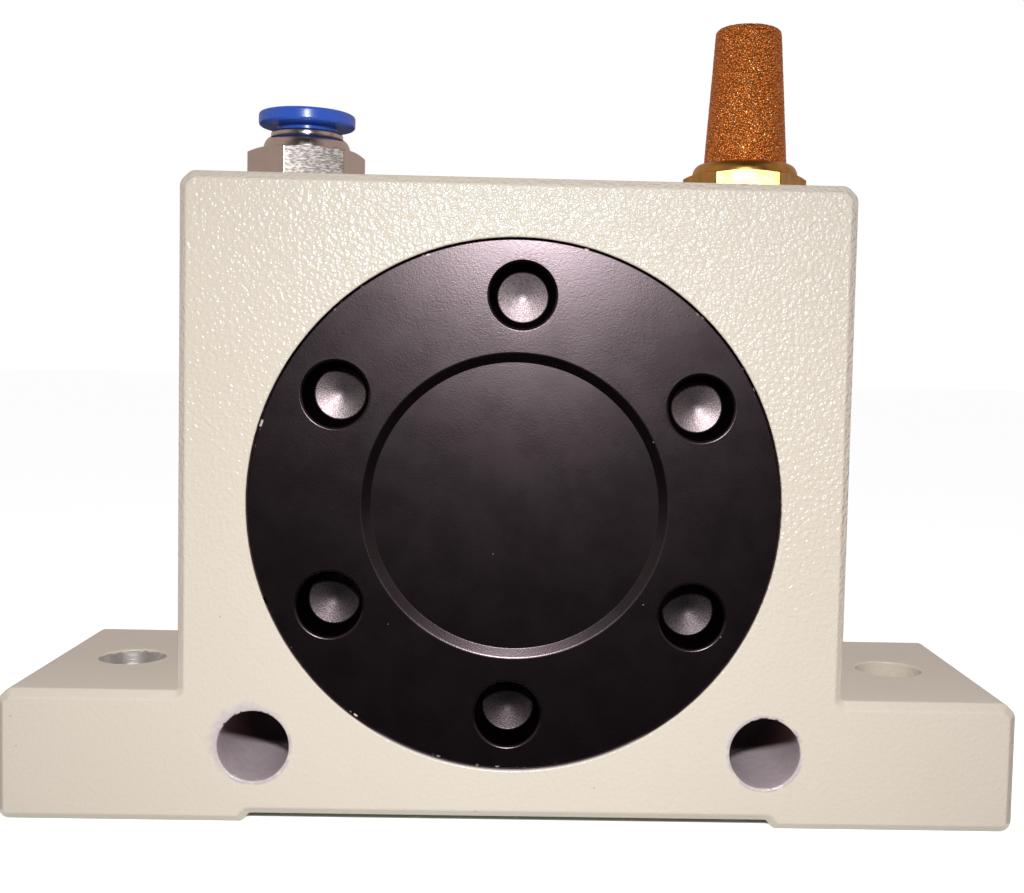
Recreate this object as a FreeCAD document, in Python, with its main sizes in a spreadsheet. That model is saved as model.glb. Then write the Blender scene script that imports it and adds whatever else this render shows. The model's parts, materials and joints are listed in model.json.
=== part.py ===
"""Pneumatic vibration motor: a footed aluminium block with an unbalanced air turbine inside.

Millimetres, +Z up. The origin is on the ground under the middle of the block. +X runs along the
two feet, from the air inlet towards the silencer, and the front cover faces -Y.
"""
import os

import FreeCAD
import Part
import Sketcher

SIZES = {
    # Block and feet
    "foot_length": 158,
    "foot_height": 20.5,
    "body_depth": 46,
    "side_wall": 10.5,
    "roof_wall": 9,
    "floor_wall": 9,
    "edge_chamfer": 1.25,
    "corner_radius": 2.2,
    "sole_corner_radius": 1.6,
    "relief_length": 80.5,
    "relief_height": 1.35,
    "foot_hole_spacing": 130,
    "foot_hole_diameter": 11,
    "cross_hole_spacing": 79.2,
    "cross_hole_height": 12.2,
    "cross_hole_diameter": 11,
    # Seats of the two covers and the turbine chamber between them
    "seat_diameter": 82,
    "seat_depth": 9,
    "seat_ledge": 4,
    # Air ports, placed from the chamber wall
    "inlet_inset": 0.8,
    "exhaust_outset": 0.5,
    "port_diameter": 13.16,
    "port_depth": 12,
    "nozzle_diameter": 5,
    "exhaust_diameter": 10,
    "drill_end_above_axis": 2,
    # Screwed covers
    "cover_thread_gap": 0.2,
    "cover_set_back": 0.3,
    "cover_edge": 0.4,
    "cover_clocking": 1,
    "spanner_land": 3.45,
    "spanner_count": 6,
    "spanner_mouth_diameter": 10.2,
    "spanner_taper": 1,
    "spanner_depth": 4.5,
    "spanner_tip": 0.8,
    "recess_land": 3.65,
    "recess_slope": 1.7,
    "recess_depth": 1,
    "cover_web": 3,
    "boss_wall": 3,
    "boss_set_back": 0.2,
    "floor_relief_inset": 0.2,
    "floor_relief_depth": 0.5,
    # Cover seals
    "seal_groove_width": 2.2,
    "seal_groove_depth": 1.4,
    "seal_side_gap": 0.1,
    "seal_rounding": 0.5,
    # Deep-groove ball bearings
    "bearing_bore": 15,
    "bearing_outside": 32,
    "bearing_width": 9,
    "bearing_fit": 0.02,
    "ball_diameter": 4.762,
    "ball_count": 9,
    "race_clearance": 0.09,
    "race_opening": 3.7,
    "cage_thickness": 1.4,
    "cage_side_wall": 0.7,
    "cage_clearance": 0.1,
    "shield_inset": 0.25,
    "shield_thickness": 0.35,
    "shield_step": 0.5,
    "shield_gap": 0.3,
    "shim_thickness": 0.3,
    "shim_width": 2.5,
    "shim_gap": 0.1,
    # Rotor, its weights and its shaft
    "rotor_gap": 0.5,
    "rotor_side_gap": 0.5,
    "boss_clearance": 1.2,
    "rotor_fit": 0.02,
    "bucket_count": 14,
    "bucket_cutter_diameter": 9,
    "bucket_depth": 5,
    "bucket_side_wall": 3.5,
    "weight_diameter": 8,
    "weight_wall": 2,
    "weight_pitch_angle": 36,
    "journal_step": 1.5,
    "shaft_collar_step": 1,
    "shaft_end_gap": 0.4,
    "key_width": 6,
    "key_height": 6,
    "key_end_gap": 2,
    "key_depth_in_shaft": 3.5,
    "key_top_gap": 0.3,
    "circlip_thickness": 1.2,
    "circlip_stand": 2,
    "circlip_opening": 7,
    "circlip_groove_depth": 0.5,
    "circlip_side_gap": 0.05,
    "circlip_land": 0.4,
    # Push-in inlet fitting
    "thread_gap": 0.1,
    "thread_chamfer": 0.8,
    "shank_length": 9,
    "fitting_hex": 17,
    "fitting_hex_height": 6.4,
    "fitting_turn": 17.1,
    "fitting_hex_bevel": 0.2,
    "fitting_cone_height": 2.2,
    "fitting_cone_flare": 1.4,
    "fitting_mouth_wall": 0.4,
    "tube_diameter": 6,
    "tube_gap": 0.1,
    "tube_seat_height": 5,
    "tube_socket_length": 4.5,
    "air_passage_diameter": 4.4,
    "inner_bore_diameter": 10.8,
    "insert_gap": 0.02,
    "tube_seal_height": 1.7,
    "backing_ring_height": 1.8,
    "grab_ring_rim": 0.5,
    "grab_ring_drop": 1,
    "grab_gap": 0.2,
    "grab_slot_count": 8,
    "grab_slot_width": 0.6,
    "guide_rim_step": 0.15,
    "guide_rim_height": 1,
    "guide_lip_height": 1.5,
    "guide_wall": 0.3,
    "collar_gap": 0.1,
    "collar_bead_gap": 0.05,
    "collar_bead_height": 0.85,
    "collar_bead_step": 0.25,
    "collar_nose_step": 0.73,
    "collar_nose_gap": 0.5,
    "collar_flange_diameter": 15.9,
    "collar_flange_height": 2,
    "collar_lift": 1.1,
    "collar_rounding": 0.5,
    "collar_lead_in": 0.6,
    # Silencer
    "silencer_hex": 18,
    "silencer_hex_height": 4.2,
    "silencer_turn": -5.6,
    "silencer_hex_bevel": 0.2,
    "silencer_dome_height": 1.8,
    "silencer_dome_land": 0.45,
    "silencer_bore_diameter": 8,
    "element_base_diameter": 13.9,
    "element_top_diameter": 10.95,
    "element_height": 22.6,
    "element_wall": 2.2,
    "element_crown": 2.5,
    "element_rounding": 0.6,
    "element_shoulder": 1.45,
    "element_spigot_height": 2,
}

# Block: its width and height follow the cover seats and the walls round them
SEAT_RADIUS = "(dims.seat_diameter / 2)"
CHAMBER_RADIUS = f"({SEAT_RADIUS} - dims.seat_ledge)"
HALF_WIDTH = f"({SEAT_RADIUS} + dims.side_wall)"
AXIS_HEIGHT = f"(dims.floor_wall + {SEAT_RADIUS})"
BODY_HEIGHT = f"({AXIS_HEIGHT} + {SEAT_RADIUS} + dims.roof_wall)"
INLET_OFFSET = f"({CHAMBER_RADIUS} - dims.inlet_inset)"
EXHAUST_OFFSET = f"({CHAMBER_RADIUS} + dims.exhaust_outset)"

# Distances along the rotor axis from the middle of the block
COVER_FACE = "(dims.body_depth / 2 - dims.cover_set_back)"
BEARING_FACE = f"({COVER_FACE} - dims.recess_depth - dims.cover_web)"
SHAFT_HALF = f"({BEARING_FACE} - dims.shaft_end_gap)"
CIRCLIP_GROOVE = "(dims.circlip_thickness + 2 * dims.circlip_side_gap)"
WEB_HALF = f"({BEARING_FACE} - dims.bearing_width - {CIRCLIP_GROOVE} - dims.circlip_land)"
ROTOR_WIDTH = "(dims.body_depth - 2 * dims.seat_depth - 2 * dims.rotor_side_gap)"

# Radii of the covers, the bearings and the rotor
COVER_RADIUS = f"({SEAT_RADIUS} - dims.cover_thread_gap)"
SEAL_RADIUS = f"({SEAT_RADIUS} - dims.seat_ledge / 2)"
SPANNER_MOUTH = "(dims.spanner_mouth_diameter / 2)"
SPANNER_CIRCLE = f"({COVER_RADIUS} - dims.spanner_land - {SPANNER_MOUTH})"
RECESS_RIM = f"({SPANNER_CIRCLE} - {SPANNER_MOUTH} - dims.recess_land)"
BOSS_RADIUS = "(dims.bearing_outside / 2 + dims.boss_wall)"
SHIM_BORE = "(dims.bearing_outside / 2 - dims.shim_width)"
PITCH_RADIUS = "((dims.bearing_bore + dims.bearing_outside) / 4)"
SHAFT_SEAT = "(dims.bearing_bore / 2 + dims.journal_step)"
ROTOR_RADIUS = f"({CHAMBER_RADIUS} - dims.rotor_gap)"
ROTOR_RECESS = f"({BOSS_RADIUS} + dims.boss_clearance)"
BUCKET_FLOOR = f"({ROTOR_RADIUS} - dims.bucket_depth)"
WEIGHT_CIRCLE = f"({BUCKET_FLOOR} - dims.weight_wall - dims.weight_diameter / 2)"

# Radii of the inlet fitting and the silencer
SHANK_RADIUS = "(dims.port_diameter / 2 - dims.thread_gap)"
TUBE_BORE = "(dims.tube_diameter / 2 + dims.tube_gap)"
INSERT_RADIUS = "(dims.inner_bore_diameter / 2 - dims.insert_gap)"
MOUTH_RADIUS = "(dims.inner_bore_diameter / 2 + dims.fitting_mouth_wall)"
SLEEVE_BORE = f"({INSERT_RADIUS} - dims.guide_wall)"
COLLAR_BEAD = f"({SLEEVE_BORE} - dims.collar_gap)"
COLLAR_NECK = f"({COLLAR_BEAD} - dims.collar_bead_step)"
ELEMENT_BASE = "(dims.element_base_diameter / 2)"
SPIGOT_RADIUS = f"({ELEMENT_BASE} - dims.element_shoulder)"

# Heights inside the inlet fitting, measured up from the end of its thread
INLET_SEAL = "(dims.tube_seat_height + dims.tube_socket_length)"
INLET_BACKING = f"({INLET_SEAL} + dims.tube_seal_height)"
INLET_GRAB = f"({INLET_BACKING} + dims.backing_ring_height)"
INLET_SLEEVE = f"({INLET_GRAB} + dims.grab_ring_rim)"
INLET_CONE = "(dims.shank_length + dims.fitting_hex_height)"
INLET_RIM = f"({INLET_CONE} + dims.fitting_cone_height)"
INLET_TOP = f"({INLET_RIM} + dims.guide_rim_height)"
COLLAR_BEAD_TOP = f"({INLET_TOP} - dims.guide_lip_height - dims.collar_bead_gap)"
COLLAR_FLANGE = f"({INLET_TOP} + dims.collar_lift)"

NEAR = 1e-4
CUTS = ("PartDesign::Pocket", "PartDesign::Groove", "PartDesign::Subtractive")

doc = FreeCAD.newDocument("vibration_motor")
pieces = {}


def make_sheet():
    """Spreadsheet with one aliased cell for each driving dimension."""
    sheet = doc.addObject("Spreadsheet::Sheet", "dims")
    for row, (alias, size) in enumerate(SIZES.items(), 1):
        sheet.set(f"A{row}", alias)
        sheet.set(f"B{row}", str(size))
        sheet.setAlias(f"B{row}", alias)
    doc.recompute()
    return sheet


dims = make_sheet()


def value(expression):
    """Number that an expression over the sheet gives now."""
    result = dims.evalExpression(expression)
    return float(getattr(result, "Value", result))


def on_axis(side, distance, turn="0"):
    """Placement on the rotor axis whose local Z points from the front or the rear face inward."""
    along, tilt = (f"-({distance})", -90) if side == "front" else (distance, 90)
    spin = f"rotation(vector(1; 0; 0); {tilt}) * rotation(vector(0; 0; 1); {turn})"
    return f"placement(vector(0; {along}; {AXIS_HEIGHT}); {spin})"


def on_top(offset, turn="0"):
    """Placement of a screwed-in fitting: local Z up from the end of its thread, at the given X."""
    lowest = f"{BODY_HEIGHT} - dims.shank_length"
    return f"placement(vector({offset}; 0; {lowest}); rotation(vector(0; 0; 1); {turn}))"


def new_body(label, place=None):
    """Empty body of one piece, registered under its node name."""
    body = doc.addObject("PartDesign::Body", label)
    body.Label = label
    if place:
        body.setExpression("Placement", place)
    pieces[label] = body
    return body


def origin_feature(body, role):
    return next(item for item in body.Origin.OriginFeatures if item.Role == role)


def new_sketch(body, name, plane, lift=None):
    """Sketch on one of the body's origin planes, lifted along the plane's normal if asked."""
    sketch = body.newObject("Sketcher::SketchObject", name)
    sketch.AttachmentSupport = (origin_feature(body, plane), [""])
    sketch.MapMode = "FlatFace"
    if lift:
        sketch.setExpression("AttachmentOffset.Base.z", lift)
    return sketch


def pin_point(sketch, geometry, position, x, y):
    """Hold one point of a sketch at the coordinates that two expressions give."""
    for kind, expression, axis in (("DistanceX", x, -2), ("DistanceY", y, -1)):
        if expression == "0":
            sketch.addConstraint(Sketcher.Constraint("PointOnObject", geometry, position, axis))
            continue
        number = value(expression)
        index = sketch.addConstraint(Sketcher.Constraint(kind, -1, 1, geometry, position, number))
        sketch.setExpression(f"Constraints[{index}]", expression)


def outline(sketch, corners):
    """Closed outline of straight lines whose corners are pairs of expressions."""
    first = sketch.GeometryCount
    points = [FreeCAD.Vector(value(x), value(y), 0) for x, y in corners]
    for start, end in zip(points, points[1:] + points[:1]):
        sketch.addGeometry(Part.LineSegment(start, end))
    last = first + len(points) - 1
    for index in range(first, last + 1):
        following = first if index == last else index + 1
        sketch.addConstraint(Sketcher.Constraint("Coincident", index, 2, following, 1))
    for index, (x, y) in enumerate(corners, first):
        pin_point(sketch, index, 1, x, y)


def circle(sketch, x, y, diameter):
    """Circle whose centre and diameter are expressions."""
    size = value(diameter)
    centre = FreeCAD.Vector(value(x), value(y), 0)
    index = sketch.addGeometry(Part.Circle(centre, FreeCAD.Vector(0, 0, 1), size / 2))
    pin_point(sketch, index, 3, x, y)
    number = sketch.addConstraint(Sketcher.Constraint("Diameter", index, size))
    sketch.setExpression(f"Constraints[{number}]", diameter)


def spun(label, corners, place):
    """Turned piece: a profile of (radius, height) expressions revolved about local Z."""
    body = new_body(label, place)
    sketch = new_sketch(body, f"{label}_profile", "XZ_Plane")
    outline(sketch, corners)
    turned = body.newObject("PartDesign::Revolution", f"{label}_turned")
    turned.Profile = sketch
    turned.ReferenceAxis = (sketch, ["V_Axis"])
    turned.Angle = 360
    return body


def bored(body, name, plane, axis, corners):
    """Turned cut: a profile revolved about a construction line between two points of its sketch."""
    sketch = new_sketch(body, f"{name}_profile", plane)
    ends = [FreeCAD.Vector(value(x), value(y), 0) for x, y in axis]
    line = sketch.addGeometry(Part.LineSegment(*ends), True)
    for position, (x, y) in enumerate(axis, 1):
        pin_point(sketch, line, position, x, y)
    outline(sketch, corners)
    cut = body.newObject("PartDesign::Groove", name)
    cut.Profile = sketch
    cut.ReferenceAxis = (sketch, ["Axis0"])
    cut.Angle = 360
    return cut


def milled(body, name, sketch, depth):
    """Pocket cut from a sketch along its plane's normal, to the given depth."""
    cut = body.newObject("PartDesign::Pocket", name)
    cut.Profile = sketch
    cut.Reversed = True
    cut.setExpression("Length", depth)
    return cut


def repeated(body, feature, count):
    """The feature repeated evenly about the body's local Z."""
    pattern = body.newObject("PartDesign::PolarPattern", f"{feature.Name}_pattern")
    pattern.Originals = [feature]
    pattern.Axis = (origin_feature(body, "Z_Axis"), [""])
    pattern.Angle = 360
    pattern.setExpression("Occurrences", count)
    body.Tip = pattern
    return pattern


def edges_where(shape, test):
    """Names of the edges that a test on their end points and middle accepts."""
    names = []
    for number, edge in enumerate(shape.Edges, 1):
        middle = edge.valueAt((edge.FirstParameter + edge.LastParameter) / 2)
        if test([vertex.Point for vertex in edge.Vertexes] + [middle]):
            names.append(f"Edge{number}")
    return names


def eased(body, kind, name, size, test):
    """Fillet or chamfer on the edges of the body's last feature that pass the test."""
    doc.recompute()
    base = body.Tip
    feature = body.newObject(f"PartDesign::{kind}", name)
    feature.Base = (base, edges_where(base.Shape, test))
    feature.setExpression("Radius" if kind == "Fillet" else "Size", size)
    return feature


def all_at(points, axis, place):
    """True where every point lies at one place along an axis (0, 1 or 2)."""
    return all(abs(point[axis] - place) < NEAR for point in points)


def all_at_radius(points, radius):
    """True where every point lies at one distance from local Z."""
    return all(abs((point.x ** 2 + point.y ** 2) ** 0.5 - radius) < NEAR for point in points)


def cylinder(name, radius, height, start):
    """Round solid on local Z, from the given height up."""
    solid = doc.addObject("Part::Cylinder", name)
    solid.setExpression("Radius", radius)
    solid.setExpression("Height", height)
    solid.setExpression("Placement.Base.z", start)
    return solid


def grouped(label, solids, place):
    """Like pieces in one node, as separate solids."""
    group = doc.addObject("Part::Compound", label)
    group.Label = label
    group.Links = solids
    group.setExpression("Placement", place)
    pieces[label] = group


def hexagon_top(across_flats, bevel):
    """Corner radius of a hexagon, the radius of its turned top and how far its corners drop below it."""
    corner = f"({across_flats} / sqrt(3))"
    top = f"({across_flats} / 2 - {bevel})"
    drop = f"(({corner} - {top}) * tan(30))"
    return corner, top, drop


def hexagon(body, name, across_flats, bottom, height):
    """Flats milled on a turned piece, leaving a hexagon with two flats square to local Y."""
    sketch = new_sketch(body, f"{name}_outline", "XY_Plane", bottom)
    corner = f"({across_flats} / sqrt(3))"
    turns = range(0, 360, 60)
    outline(sketch, [(f"{corner} * cos({a})", f"{corner} * sin({a})") for a in turns])
    outside_the_stock = f"2 * {across_flats}"
    circle(sketch, "0", "0", outside_the_stock)
    return milled(body, name, sketch, height)


def make_housing():
    """Block with two feet: stepped turbine bore, air ports, foot holes and cross holes."""
    body = new_body("housing")
    half_foot = "dims.foot_length / 2"
    half_relief = "dims.relief_length / 2"
    half_pad = f"{half_relief} + dims.relief_height"
    right_side = [
        (half_relief, "dims.relief_height"), (half_pad, "0"), (half_foot, "0"),
        (half_foot, "dims.foot_height"), (HALF_WIDTH, "dims.foot_height"), (HALF_WIDTH, BODY_HEIGHT)]
    left_side = [(f"-({x})", z) for x, z in reversed(right_side)]
    sketch = new_sketch(body, "housing_outline", "XZ_Plane")
    outline(sketch, right_side + left_side)
    block = body.newObject("PartDesign::Pad", "housing_block")
    block.Profile = sketch
    block.Midplane = True
    block.setExpression("Length", "dims.body_depth")

    def corner_edge(points, side, height):
        """True for a front-to-back edge at the given distance to a side and height."""
        at_side = all(abs(abs(point.x) - value(side)) < NEAR for point in points)
        return at_side and all_at(points, 2, value(height))

    def outer_corner(points):
        top = corner_edge(points, HALF_WIDTH, BODY_HEIGHT)
        return top or corner_edge(points, half_foot, "dims.foot_height")

    def sole_corner(points):
        return corner_edge(points, half_foot, "0")

    def face_edge(points):
        """Edges round the front face and the rear face."""
        half_depth = value("dims.body_depth") / 2
        return all_at(points, 1, -half_depth) or all_at(points, 1, half_depth)

    eased(body, "Fillet", "housing_corners", "dims.corner_radius", outer_corner)
    eased(body, "Fillet", "sole_corners", "dims.sole_corner_radius", sole_corner)
    eased(body, "Chamfer", "housing_edges", "dims.edge_chamfer", face_edge)

    half_depth = "dims.body_depth / 2"
    ledge = f"{half_depth} - dims.seat_depth"
    seat = f"{AXIS_HEIGHT} + {SEAT_RADIUS}"
    wall = f"{AXIS_HEIGHT} + {CHAMBER_RADIUS}"
    axis = [(f"-{half_depth}", AXIS_HEIGHT), (half_depth, AXIS_HEIGHT)]
    steps = [(f"-{half_depth}", seat), (f"-({ledge})", seat), (f"-({ledge})", wall),
             (ledge, wall), (ledge, seat), (half_depth, seat)]
    bored(body, "turbine_bore", "YZ_Plane", axis, axis[:1] + steps + axis[1:])

    drill_end = f"{AXIS_HEIGHT} + dims.drill_end_above_axis"
    shoulder = f"{BODY_HEIGHT} - dims.port_depth"
    for name, offset, drill in (("inlet_port", f"-{INLET_OFFSET}", "dims.nozzle_diameter"),
                                ("exhaust_port", EXHAUST_OFFSET, "dims.exhaust_diameter")):
        axis = [(offset, drill_end), (offset, BODY_HEIGHT)]
        drilled = f"{offset} + {drill} / 2"
        threaded = f"{offset} + dims.port_diameter / 2"
        steps = [(drilled, drill_end), (drilled, shoulder), (threaded, shoulder), (threaded, BODY_HEIGHT)]
        bored(body, name, "XZ_Plane", axis, axis[:1] + steps + axis[1:])

    sketch = new_sketch(body, "foot_hole_centres", "XY_Plane")
    for side in ("", "-"):
        circle(sketch, f"{side}dims.foot_hole_spacing / 2", "0", "dims.foot_hole_diameter")
    milled(body, "foot_holes", sketch, "dims.foot_height")

    sketch = new_sketch(body, "cross_hole_centres", "XZ_Plane")
    for side in ("", "-"):
        across = f"{side}dims.cross_hole_spacing / 2"
        circle(sketch, across, "dims.cross_hole_height", "dims.cross_hole_diameter")
    drilled = milled(body, "cross_holes", sketch, "dims.body_depth")
    drilled.Midplane = True


def make_cover(side):
    """Screwed cover: spanner holes outside, seal groove and bearing pocket inside."""
    label = f"{side}_cover"
    inner = "dims.seat_depth - dims.cover_set_back"
    floor = "dims.recess_depth + dims.cover_web"
    boss_end = f"{floor} + dims.bearing_width - dims.boss_set_back"
    if side == "rear":
        floor = f"{floor} - dims.shim_thickness"
    relief = f"{floor} - dims.floor_relief_depth"
    pocket = "dims.bearing_outside / 2 + dims.bearing_fit"
    groove_bottom = f"{inner} - dims.seal_groove_depth"
    groove_outside = f"{SEAL_RADIUS} + dims.seal_groove_width / 2"
    groove_inside = f"{SEAL_RADIUS} - dims.seal_groove_width / 2"
    relief_radius = f"{SHIM_BORE} - dims.floor_relief_inset"
    profile = [
        ("0", "dims.recess_depth"), (f"{RECESS_RIM} - dims.recess_slope", "dims.recess_depth"),
        (RECESS_RIM, "0"), (f"{COVER_RADIUS} - dims.cover_edge", "0"),
        (COVER_RADIUS, "dims.cover_edge"), (COVER_RADIUS, inner),
        (groove_outside, inner), (groove_outside, groove_bottom),
        (groove_inside, groove_bottom), (groove_inside, inner),
        (BOSS_RADIUS, inner), (BOSS_RADIUS, boss_end), (pocket, boss_end), (pocket, floor),
        (relief_radius, floor), (relief_radius, relief), ("0", relief)]
    half_step = "180 / dims.spanner_count"
    clock = f"{half_step} {'+' if side == 'front' else '-'} dims.cover_clocking"
    body = spun(label, profile, on_axis(side, COVER_FACE, clock))
    tip = "dims.spanner_depth + dims.spanner_tip"
    axis = [(SPANNER_CIRCLE, "0"), (SPANNER_CIRCLE, tip)]
    wall = [(f"{SPANNER_CIRCLE} + {SPANNER_MOUTH} - dims.spanner_taper", "dims.spanner_depth"),
            (f"{SPANNER_CIRCLE} + {SPANNER_MOUTH}", "0")]
    hole = bored(body, f"{side}_spanner_hole", "XZ_Plane", axis, axis + wall)
    repeated(body, hole, "dims.spanner_count")


def make_cover_seal(side):
    """Seal ring squeezed between the groove of a cover and the ledge of the block."""
    half = "(dims.seal_groove_width / 2 - dims.seal_side_gap)"
    profile = [(f"{SEAL_RADIUS} + {half}", "0"), (f"{SEAL_RADIUS} + {half}", "dims.seal_groove_depth"),
               (f"{SEAL_RADIUS} - {half}", "dims.seal_groove_depth"), (f"{SEAL_RADIUS} - {half}", "0")]
    bottom = "dims.body_depth / 2 - dims.seat_depth + dims.seal_groove_depth"
    body = spun(f"{side}_cover_seal", profile, on_axis(side, bottom))
    eased(body, "Fillet", f"{side}_seal_rounding", "dims.seal_rounding", lambda points: True)


def make_bearing(side):
    """Ball bearing: two grooved rings, balls in a cage, and a pair of shields."""
    place = on_axis(side, BEARING_FACE)
    outside = "dims.bearing_outside / 2"
    bore = "dims.bearing_bore / 2"
    outer_shoulder = f"{PITCH_RADIUS} + dims.race_opening / 2"
    inner_shoulder = f"{PITCH_RADIUS} - dims.race_opening / 2"
    width = "dims.bearing_width"
    middle = "dims.bearing_width / 2"
    shield_seat = f"{outer_shoulder} + dims.shield_step"
    shield_inner = "dims.shield_inset + dims.shield_thickness"

    outer = spun(f"{side}_bearing_outer_ring", [
        (outside, "0"), (outside, width), (shield_seat, width),
        (shield_seat, f"{width} - ({shield_inner})"), (outer_shoulder, f"{width} - ({shield_inner})"),
        (outer_shoulder, shield_inner), (shield_seat, shield_inner), (shield_seat, "0")], place)
    inner = spun(f"{side}_bearing_inner_ring", [
        (bore, "0"), (inner_shoulder, "0"), (inner_shoulder, width), (bore, width)], place)
    for body in (outer, inner):
        race = body.newObject("PartDesign::SubtractiveTorus", f"{body.Label}_race")
        race.setExpression("Radius1", PITCH_RADIUS)
        race.setExpression("Radius2", "dims.ball_diameter / 2 + dims.race_clearance")
        race.setExpression("Placement.Base.z", middle)

    half_cage = "dims.cage_thickness / 2"
    pocket = "dims.ball_diameter / 2 + dims.cage_clearance"
    half_width = f"{pocket} + dims.cage_side_wall"
    low, high = f"{middle} - ({half_width})", f"{middle} + {half_width}"
    cage = spun(f"{side}_bearing_cage", [
        (f"{PITCH_RADIUS} - {half_cage}", low), (f"{PITCH_RADIUS} + {half_cage}", low),
        (f"{PITCH_RADIUS} + {half_cage}", high), (f"{PITCH_RADIUS} - {half_cage}", high)], place)
    half_step = "180 / dims.ball_count"
    outward = f"rotation(vector(0; 0; 1); {half_step}) * rotation(vector(0; 1; 0); 90)"
    window = cage.newObject("PartDesign::SubtractiveCylinder", f"{side}_cage_window")
    window.setExpression("Radius", pocket)
    window.setExpression("Height", f"{PITCH_RADIUS} + dims.cage_thickness")
    window.setExpression("Placement", f"placement(vector(0; 0; {middle}); {outward})")
    repeated(cage, window, "dims.ball_count")

    balls = []
    for number in range(int(value("dims.ball_count"))):
        ball = doc.addObject("Part::Sphere", f"{side}_ball_{number + 1}")
        angle = f"{2 * number + 1} * {half_step}"
        ball.setExpression("Radius", "dims.ball_diameter / 2")
        ball.setExpression("Placement.Base.x", f"{PITCH_RADIUS} * cos({angle})")
        ball.setExpression("Placement.Base.y", f"{PITCH_RADIUS} * sin({angle})")
        ball.setExpression("Placement.Base.z", middle)
        balls.append(ball)
    grouped(f"{side}_bearing_balls", balls, place)

    shields = []
    far_shield = f"{width} - ({shield_inner})"
    for name, start in (("outside", "dims.shield_inset"), ("inside", far_shield)):
        plate = cylinder(f"{side}_{name}_shield_plate", f"{shield_seat} - dims.bearing_fit",
                         "dims.shield_thickness", start)
        hole = cylinder(f"{side}_{name}_shield_hole", f"{inner_shoulder} + dims.shield_gap",
                        "dims.shield_thickness", start)
        ring = doc.addObject("Part::Cut", f"{side}_{name}_shield")
        ring.Base = plate
        ring.Tool = hole
        shields.append(ring)
    grouped(f"{side}_bearing_shields", shields, place)


def make_shim():
    """Flat ring behind the rear bearing that takes up its end play."""
    outside = "dims.bearing_outside / 2 - dims.shim_gap"
    top = "dims.shim_thickness"
    profile = [(outside, "0"), (outside, top), (SHIM_BORE, top), (SHIM_BORE, "0")]
    spun("bearing_shim", profile, on_axis("rear", f"{BEARING_FACE} + dims.shim_thickness"))


def weight_centres(middle_angle):
    """Centres of three holes spread about one side of the rotor."""
    steps = [f"({middle_angle} + ({step}) * dims.weight_pitch_angle)" for step in (-1, 0, 1)]
    return [(f"{WEIGHT_CIRCLE} * cos({angle})", f"{WEIGHT_CIRCLE} * sin({angle})") for angle in steps]


def make_rotor():
    """Turbine rotor: buckets round its rim, weight holes filled on its heavy lower side only."""
    place = on_axis("front", f"{ROTOR_WIDTH} / 2")
    bore = f"{SHAFT_SEAT} + dims.rotor_fit"
    web = f"(2 * {WEB_HALF})"
    hollow = f"({ROTOR_WIDTH} - {web}) / 2"
    far_web = f"{hollow} + {web}"
    body = spun("rotor", [
        (bore, hollow), (ROTOR_RECESS, hollow), (ROTOR_RECESS, "0"), (ROTOR_RADIUS, "0"),
        (ROTOR_RADIUS, ROTOR_WIDTH), (ROTOR_RECESS, ROTOR_WIDTH), (ROTOR_RECESS, far_web),
        (bore, far_web)], place)

    sketch = new_sketch(body, "weight_hole_centres", "XY_Plane")
    hole = "dims.weight_diameter + 2 * dims.rotor_fit"
    for x, y in weight_centres(90) + weight_centres(-90):
        circle(sketch, x, y, hole)
    milled(body, "weight_holes", sketch, ROTOR_WIDTH)

    slot = body.newObject("PartDesign::SubtractiveBox", "hub_keyway")
    key_top = f"{SHAFT_SEAT} - dims.key_depth_in_shaft + dims.key_height"
    slot.setExpression("Length", f"{key_top} + dims.key_top_gap")
    slot.setExpression("Width", "dims.key_width")
    slot.setExpression("Height", web)
    slot.setExpression("Placement.Base.y", "-dims.key_width / 2")
    slot.setExpression("Placement.Base.z", hollow)

    sketch = new_sketch(body, "bucket_outline", "XY_Plane", "dims.bucket_side_wall")
    cutter_centre = f"{BUCKET_FLOOR} + dims.bucket_cutter_diameter / 2"
    circle(sketch, cutter_centre, "0", "dims.bucket_cutter_diameter")
    bucket = milled(body, "bucket", sketch, f"{ROTOR_WIDTH} - 2 * dims.bucket_side_wall")
    repeated(body, bucket, "dims.bucket_count")

    weights = []
    for number, (x, y) in enumerate(weight_centres(90), 1):
        weight = cylinder(f"rotor_weight_{number}", "dims.weight_diameter / 2", web, hollow)
        weight.setExpression("Placement.Base.x", x)
        weight.setExpression("Placement.Base.y", y)
        weights.append(weight)
    grouped("rotor_weights", weights, place)


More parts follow.
